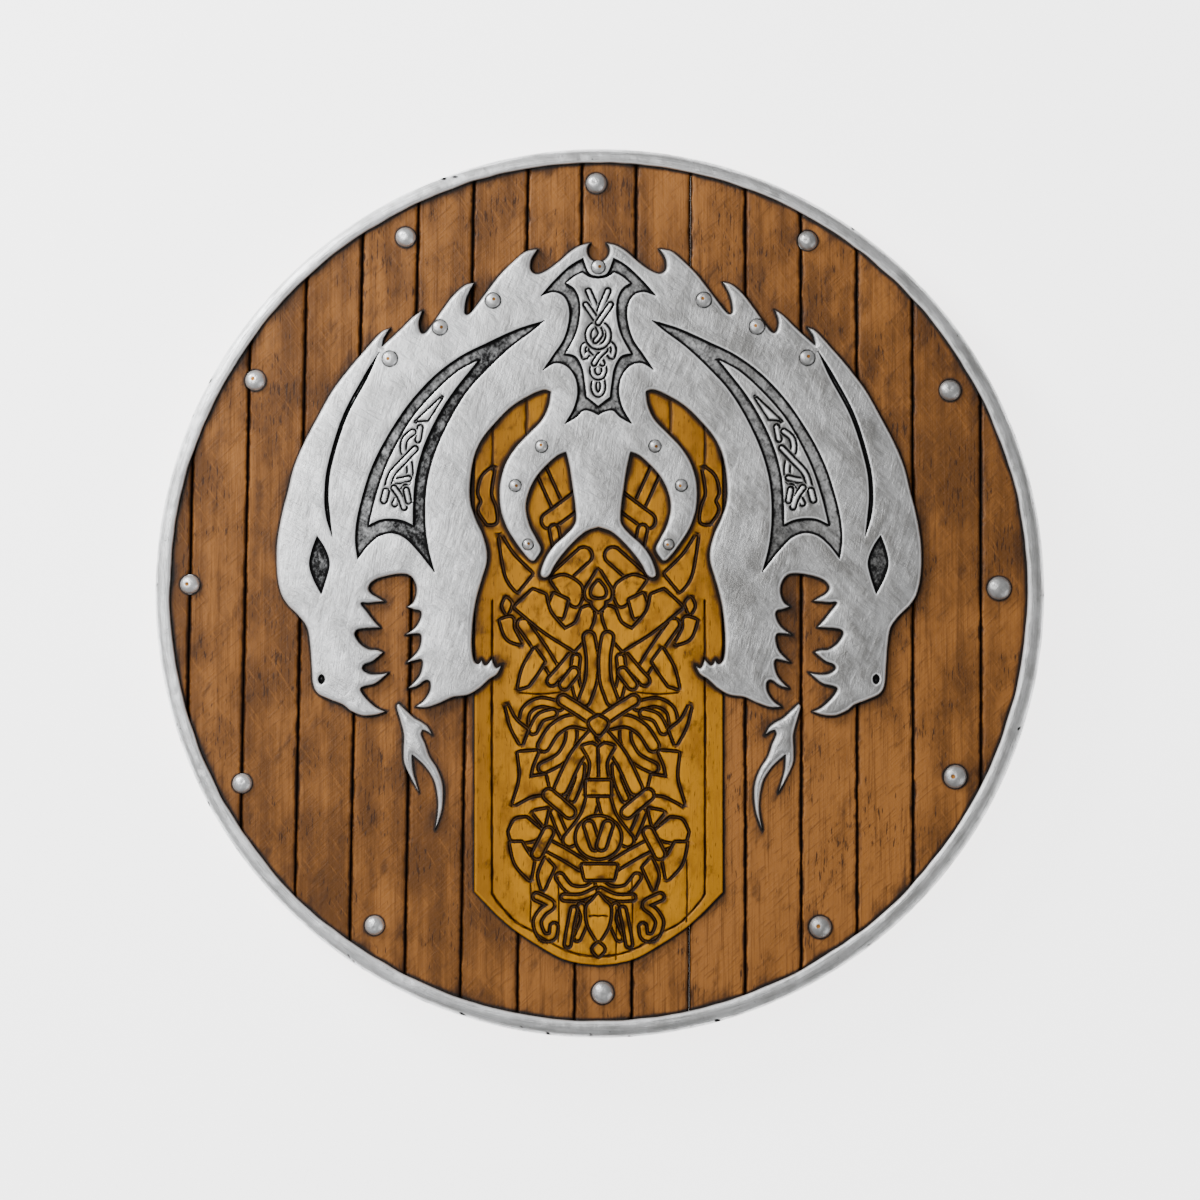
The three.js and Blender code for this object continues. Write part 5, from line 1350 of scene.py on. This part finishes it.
class SHIELD_OT_plate(Piece, bpy.types.Operator):
    """The silver plate of two dragon heads"""
    bl_idname = "shield.plate"
    bl_label = "Dragon plate"

    def execute(self, context):
        metal = settings().metal
        edge, dent_depth = metal.edge / MM, metal.dent_depth / MM
        outline, panel = plate_outline(), panel_outline()
        sunk = [*two_sides(CRESCENT_RUNS), both_halves(join_runs(CARTOUCHE_RUNS))]
        left = [*two_sides(LEAF_RUNS), both_halves(join_runs(SHIELDLET_RUNS))]
        slots = [line for runs in (EYE_RUNS, FIN_LINE_RUNS, NOSTRIL_RUNS) for line in two_sides(runs, 0.7)]
        knots = leaf_marks() + shieldlet_marks()
        rows = both_sides([outline], (0.3, 0.7, 1.2, 1.8, 2.5, 3.6))
        rows += both_sides(sunk + left + slots, (0.35, 0.7, 1.1, 1.6, 2.4))
        for mark in knots:
            rows += mark.rows((-0.8, -0.35, 0, 0.25, 0.5, 0.9, 1.4, 2.2))
        for x, y, radius in STUDS:
            rows += circles(x, y, radius + np.array([-0.3, 0.3, 0.8, 1.4, 2.2]), 7)

        def shape(at):
            # The rounded edge: dark at its brink as painted shade, with a painted highlight, partly rubbing, along it.
            deep = distance(at, outline, True)
            fall = 1.2 * edge * (1 - quarter_round(deep / edge)) + 0.6 * np.exp(-deep / 6)
            wash_and_shade = np.clip(1.1 - deep / 0.5, 0, 1)
            rub_and_highlight = 0.8 * hump(deep, 1.5, 0.9)

            # The sunk parts: how deep a place lies in one, below zero outside, and how deep in what is left standing.
            in_slot = np.max([depth_inside(at, loop, 3) for loop in slots], axis=0)
            sink = np.maximum(in_slot, np.max([depth_inside(at, loop, 3) for loop in sunk], axis=0))
            floor = np.minimum(sink, -np.max([depth_inside(at, loop, 3) for loop in left], axis=0))
            cut = metal.channel_depth / MM * ease(floor / 0.6)
            brink = np.abs(np.minimum(floor, 0))
            lip = 0.55 * np.exp(-brink / 0.7) * (floor <= 0)
            # A painted highlight, partly rubbing, along the brink of each sunk part.
            rub_and_highlight = np.maximum(rub_and_highlight, 0.8 * hump(brink, 0.9, 0.6) * (floor <= 0))
            rough = 0.3 * swell(at, 2.6, 17.0) * (floor > 0.4)

            # The wash in them, partly painted shade: blotted, thinner to the right and on the outer side of the
            # channel, and thick at the walls, where it is painted shade.
            out = np.abs(at[:, 0])
            middle = np.interp(at[:, 1], *CHANNEL_MIDDLE)
            right = ease(at[:, 0] / 60)
            dirt = 0.545 - 0.1 * right + (0.08 - 0.01 * right) * ease((middle - out) / 8 + 0.5)
            dirt = np.where(out < 60, 0.5, dirt) + (0.1 - 0.06 * right) * ripple(at, 8.0, 21.0)
            fin_or_face = np.where(at[:, 1] > 39, 0.46, 0.65 - 0.04 * right)
            dirt = np.where(in_slot > -0.3, fin_or_face, dirt) + 0.8 * hump(floor, 0.25, 0.9)
            wash_and_shade = np.maximum(wash_and_shade, np.where(floor > -0.15, np.clip(dirt, 0, 1), 0))

            # The knots: a dark wash beside their strands that is partly painted shade, and a painted highlight on
            # their tops.
            height, inked_and_shaded = carve(at, knots, 2.2, 1.1, 0.6, soft=True)
            wash_and_shade = np.maximum(wash_and_shade, inked_and_shaded)
            rub_and_highlight = np.maximum(rub_and_highlight, 0.9 * np.clip(height / 0.4, 0, 1))
            # Painted shade round the foot of each stud.
            for x, y, radius in STUDS:
                off = np.hypot(at[:, 0] - x, at[:, 1] - y) - radius
                wash_and_shade = np.maximum(wash_and_shade, 0.7 * hump(off, 0.4, 0.7))
            dents = dent_depth * swell(at, metal.dent_width / MM, 2.0) + 0.6 * dent_depth * swell(at, (5.0, 9.0), 9.0)
            return PLATE_Z - PLATE_AIR - fall - cut - lip - rough + height - dents, wash_and_shade, rub_and_highlight * (wash_and_shade < 0.5)

        def foot(under):
            heights = np.where(depth_inside(under, panel) > 0, PANEL_Z + PLATE_AIR, FACE_Z + AIR)
            # Wash all over the underside: painted shade.
            return heights, np.ones(len(under))

        relief("silver_dragon_plate", outline, rows, 2.8, shape, worn_silver(metal), ["dragon_plate"], 50,
               foot, sunk + left + slots, both_sides([panel], (0.3,)))
        return {"FINISHED"}


class SHIELD_OT_flames(Piece, bpy.types.Operator):
    """The small flame below each mouth"""
    bl_idname = "shield.flames"
    bl_label = "Flames"

    def execute(self, context):
        silver = worn_silver(settings().metal, "flame_silver", turn=10)
        for name, outline in zip(("flame_left", "flame_right"), two_sides(FLAME_RUNS, 0.8)):
            def shape(at, outline=outline):
                deep = distance(at, outline, True)
                height = 0.25 + 3.7 * quarter_round(deep / 4.2) - 0.15 * swell(at, 5.0, 6.0)
                # Dark at the brink as painted shade, with a painted highlight, partly rubbing, along the rounded edge.
                return FACE_Z + height, np.clip(1 - deep / 0.4, 0, 1), 0.8 * hump(deep, 1.3, 0.8)

            relief("silver_" + name, outline, both_sides([outline], (0.4, 0.8, 1.3, 1.9, 2.7)), 1.6, shape, silver,
                   [name], 60)
        return {"FINISHED"}


class SHIELD_OT_battens(Piece, bpy.types.Operator):
    """The two battens behind the boards"""
    bl_idname = "shield.battens"
    bl_label = "Battens"

    def execute(self, context):
        pine = sanded_pine()
        for name in ("batten_top", "batten_foot"):
            low, high = (Vector(corner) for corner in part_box(name))
            bm = bmesh.new()
            bmesh.ops.create_cube(bm, size=1.0)
            span = high - low - Vector((0, 0, 0.05 * MM))  # clear of the boards
            bmesh.ops.scale(bm, vec=span, verts=bm.verts)
            bmesh.ops.translate(bm, vec=low + span / 2, verts=bm.verts)
            upright = [edge for edge in bm.edges if abs(edge.verts[0].co.z - edge.verts[1].co.z) > 0.01]
            bmesh.ops.bevel(bm, geom=upright, offset=4 * MM, segments=5, profile=0.5, affect="EDGES", material=-1)
            square = [edge for edge in bm.edges if edge.calc_face_angle(0) > 1.2]
            bmesh.ops.bevel(bm, geom=square, offset=1.4 * MM, segments=3, profile=0.5, affect="EDGES", material=-1)
            add_piece("pine_" + name, bm, pine, [name], 40)
        return {"FINISHED"}


STRAPS = {"hand_grip": (80, 28), "arm_strap": (-80, 40)}  # where each lies across the boards, and its width
STRAP_LENGTH, STRAP_END = 204, 96  # the rounded ends start at this height
SCREW_HEIGHT = 92
STRAP_THICKNESS = 2.9
STRAP_TOP = BACK_Z - 0.05  # the side of a strap that lies against the boards
STITCH_PITCH = 5.0
# Half of a strap's section, round from the side against the boards: share of the width, share of the thickness.
STRAP_SIDE = [(0.2, 0), (0.42, 0), (0.47, 0.06), (0.5, 0.25), (0.5, 0.75), (0.47, 0.94), (0.42, 1), (0.2, 1)]


def strap_bow(y):
    """How far a strap stands off the boards along its length."""
    return 17 * min(1.0, 1.6 * ease(1 - abs(y) / 76))


class SHIELD_OT_straps(Piece, bpy.types.Operator):
    """The leather hand grip and arm strap, with their stitching"""
    bl_idname = "shield.straps"
    bl_label = "Straps"

    def execute(self, context):
        leather, thread = brown_leather(), linen_thread()
        mirrored = [(-u, w) for u, w in STRAP_SIDE]
        section = mirrored[3::-1] + [(0, 0)] + STRAP_SIDE + [(0, 1)] + mirrored[:3:-1]
        for name, (x, width) in STRAPS.items():
            bm = bmesh.new()
            bmesh.ops.create_grid(bm, x_segments=len(section), y_segments=110, size=0.5)
            wash_and_shade_layer = bm.verts.layers.float.new("wash_and_shade")
            for v in bm.verts:
                u, w = section[round((v.co.x + 0.5) * len(section)) % len(section)]
                y = STRAP_LENGTH * v.co.y
                end = max(0.0, abs(y) - STRAP_END) / (STRAP_LENGTH / 2 - STRAP_END)
                narrow = width * (1 - 0.16 * end * end)
                z = STRAP_TOP - strap_bow(y) - STRAP_THICKNESS * w
                if w > 0.5 and strap_bow(y) > 1:
                    z -= 0.25 * noise.noise(Vector((u * 3, y / 7, x)))
                v[wash_and_shade_layer] = max(0.0, (abs(u) - 0.4) * 9) * (0.4 if 0.2 < w < 0.8 else 0.8)
                v.co = ((x + u * narrow) * MM, y * MM, max(z, BACK_Z - 20) * MM)
            bmesh.ops.remove_doubles(bm, verts=bm.verts, dist=WELD / 2)
            bmesh.ops.holes_fill(bm, edges=[edge for edge in bm.edges if edge.is_boundary])
            add_piece("leather_" + name, bm, leather, [name], 60)

            bm = bmesh.new()
            for side in (-1, 1):
                for y in STITCH_PITCH * np.arange(-19, 20):
                    lean = math.atan2(strap_bow(y + 1) - strap_bow(y - 1), 2)
                    z = STRAP_TOP - strap_bow(y) - STRAP_THICKNESS
                    place = Matrix.Translation(((x + side * (width / 2 - 3)) * MM, y * MM, z * MM))
                    place @= Matrix.Rotation(-lean, 4, "X") @ Matrix.Diagonal((0.45 * MM, 1.7 * MM, 0.35 * MM, 1))
                    bmesh.ops.create_uvsphere(bm, u_segments=8, v_segments=5, radius=1.0, matrix=place)
            add_piece(name + "_stitching", bm, thread, [])
        return {"FINISHED"}


class SHIELD_OT_strap_screws(Piece, bpy.types.Operator):
    """The four screws that hold the straps"""
    bl_idname = "shield.strap_screws"
    bl_label = "Strap screws"

    def execute(self, context):
        metal = worn_silver(settings().metal, "screw_silver", wear=0.6)
        seat = BACK_Z - 3
        profile = [(0, seat - 2.45), (2.4, seat - 2.3), (4.2, seat - 1.75), (5.4, seat - 0.9), (5.95, seat - 0.1),
                   (5.9, seat + 0.1), (1.5, seat + 0.1), (1.5, BACK_Z + 5.5), (0, BACK_Z + 6)]
        for name, (x, _) in STRAPS.items():
            for end, y in (("top", SCREW_HEIGHT), ("foot", -SCREW_HEIGHT)):
                bm = bmesh.new()
                turned(bm, profile, 32, x, y)
                bm.verts.layers.float.new("wash_and_shade")
                add_piece(f"{name}_{end}_screw", bm, metal, [f"{name}_{end}_stud"], 40)
        return {"FINISHED"}


FLOOR_SIZE, FLOOR_DROP = 6.0, 0.2 * MM  # half its side, and how far it lies below the shield, in metres
SENSOR = 36  # width of the camera's sensor
VIEW_WIDTH = 825.3  # what the camera takes in at the face of the shield


class SHIELD_OT_stage(Piece, bpy.types.Operator):
    """The floor, the soft lights and the camera"""
    bl_idname = "shield.stage"
    bl_label = "Stage"

    def execute(self, context):
        stage, scene = settings().stage, context.scene
        bm = bmesh.new()
        bmesh.ops.create_grid(bm, x_segments=1, y_segments=1, size=FLOOR_SIZE)
        bmesh.ops.translate(bm, vec=(0, 0, -FLOOR_DROP), verts=bm.verts)
        to_object("studio_floor", bm, studio_floor(stage))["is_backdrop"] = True

        scene.world = bpy.data.worlds.new("studio")
        scene.world.use_nodes = True
        sky = scene.world.node_tree.nodes["Background"].inputs
        sky["Color"].default_value, sky["Strength"].default_value = linear("#FFFFFF"), stage.sky

        # A broad box overhead on the left for the sheen of the metal, a lower one for the shade in the carving, and
        # a weak one across from them.
        for name, place, aim, wide, power in (("soft_box", (-1.05, 0.5, 2.1), (-0.3, 0.1, 0), 1.5, stage.soft_box),
                                              ("key", (-1.3, 1.15, 0.95), (0, 0, 0), 0.6, stage.key),
                                              ("fill", (1.6, -1.0, 0.8), (0.1, -0.1, 0), 1.0, stage.key * 0.2)):
            light = bpy.data.lights.new(name, "AREA")
            light.energy, light.size = power, wide
            lamp = bpy.data.objects.new(name, light)
            lamp.location = place
            lamp.rotation_euler = (Vector(aim) - Vector(place)).to_track_quat("-Z", "Y").to_euler()
            scene.collection.objects.link(lamp)

        camera = bpy.data.cameras.new("camera")
        camera.sensor_width = SENSOR
        camera.lens = SENSOR * stage.camera_distance / (VIEW_WIDTH * MM)
        scene.camera = bpy.data.objects.new("camera", camera)
        tilt = Vector((0.026, -0.026, 1)).normalized()
        scene.camera.location = Vector((1.0, -5.5, FACE_Z)) * MM + tilt * stage.camera_distance
        scene.camera.rotation_euler = (math.atan2(-tilt.y, tilt.z), math.asin(tilt.x), 0)
        scene.collection.objects.link(scene.camera)
        return {"FINISHED"}


class SHIELD_PT_panel(bpy.types.Panel):
    """Lists the pieces and their settings in the 3D view's sidebar"""
    bl_idname = "SHIELD_PT_panel"
    bl_label = "Round Shield"
    bl_space_type = "VIEW_3D"
    bl_region_type = "UI"
    bl_category = "Shield"

    def draw(self, context):
        own = context.scene.shield
        column = self.layout.column(align=True)
        for operator in OPERATORS:
            column.operator(operator.bl_idname)
        self.layout.prop(own, "seed")
        for group in (own.wood, own.metal, own.gilding, own.stage):
            box = self.layout.box()
            for name in group.__annotations__:
                box.prop(group, name)


OPERATORS = (SHIELD_OT_stage, SHIELD_OT_boards, SHIELD_OT_rim, SHIELD_OT_rivets, SHIELD_OT_panel, SHIELD_OT_plate,
             SHIELD_OT_studs, SHIELD_OT_flames, SHIELD_OT_battens, SHIELD_OT_straps, SHIELD_OT_strap_screws)
CLASSES = (WoodSettings, MetalSettings, GildingSettings, StageSettings, ShieldSettings, *OPERATORS, SHIELD_PT_panel)


def register():
    for each in CLASSES:
        bpy.utils.register_class(each)
    bpy.types.Scene.shield = PointerProperty(type=ShieldSettings)


def unregister():
    del bpy.types.Scene.shield
    for each in reversed(CLASSES):
        bpy.utils.unregister_class(each)


def main():
    register()
    for operator in OPERATORS:
        getattr(bpy.ops.shield, operator.bl_idname.split(".")[1])()
    sizes = {"cad": CAD_BOX, "visual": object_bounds()}
    {key: [list(map(float, corner)) for corner in box] for key, box in sizes.items()}


if __name__ == "__main__":
    main()
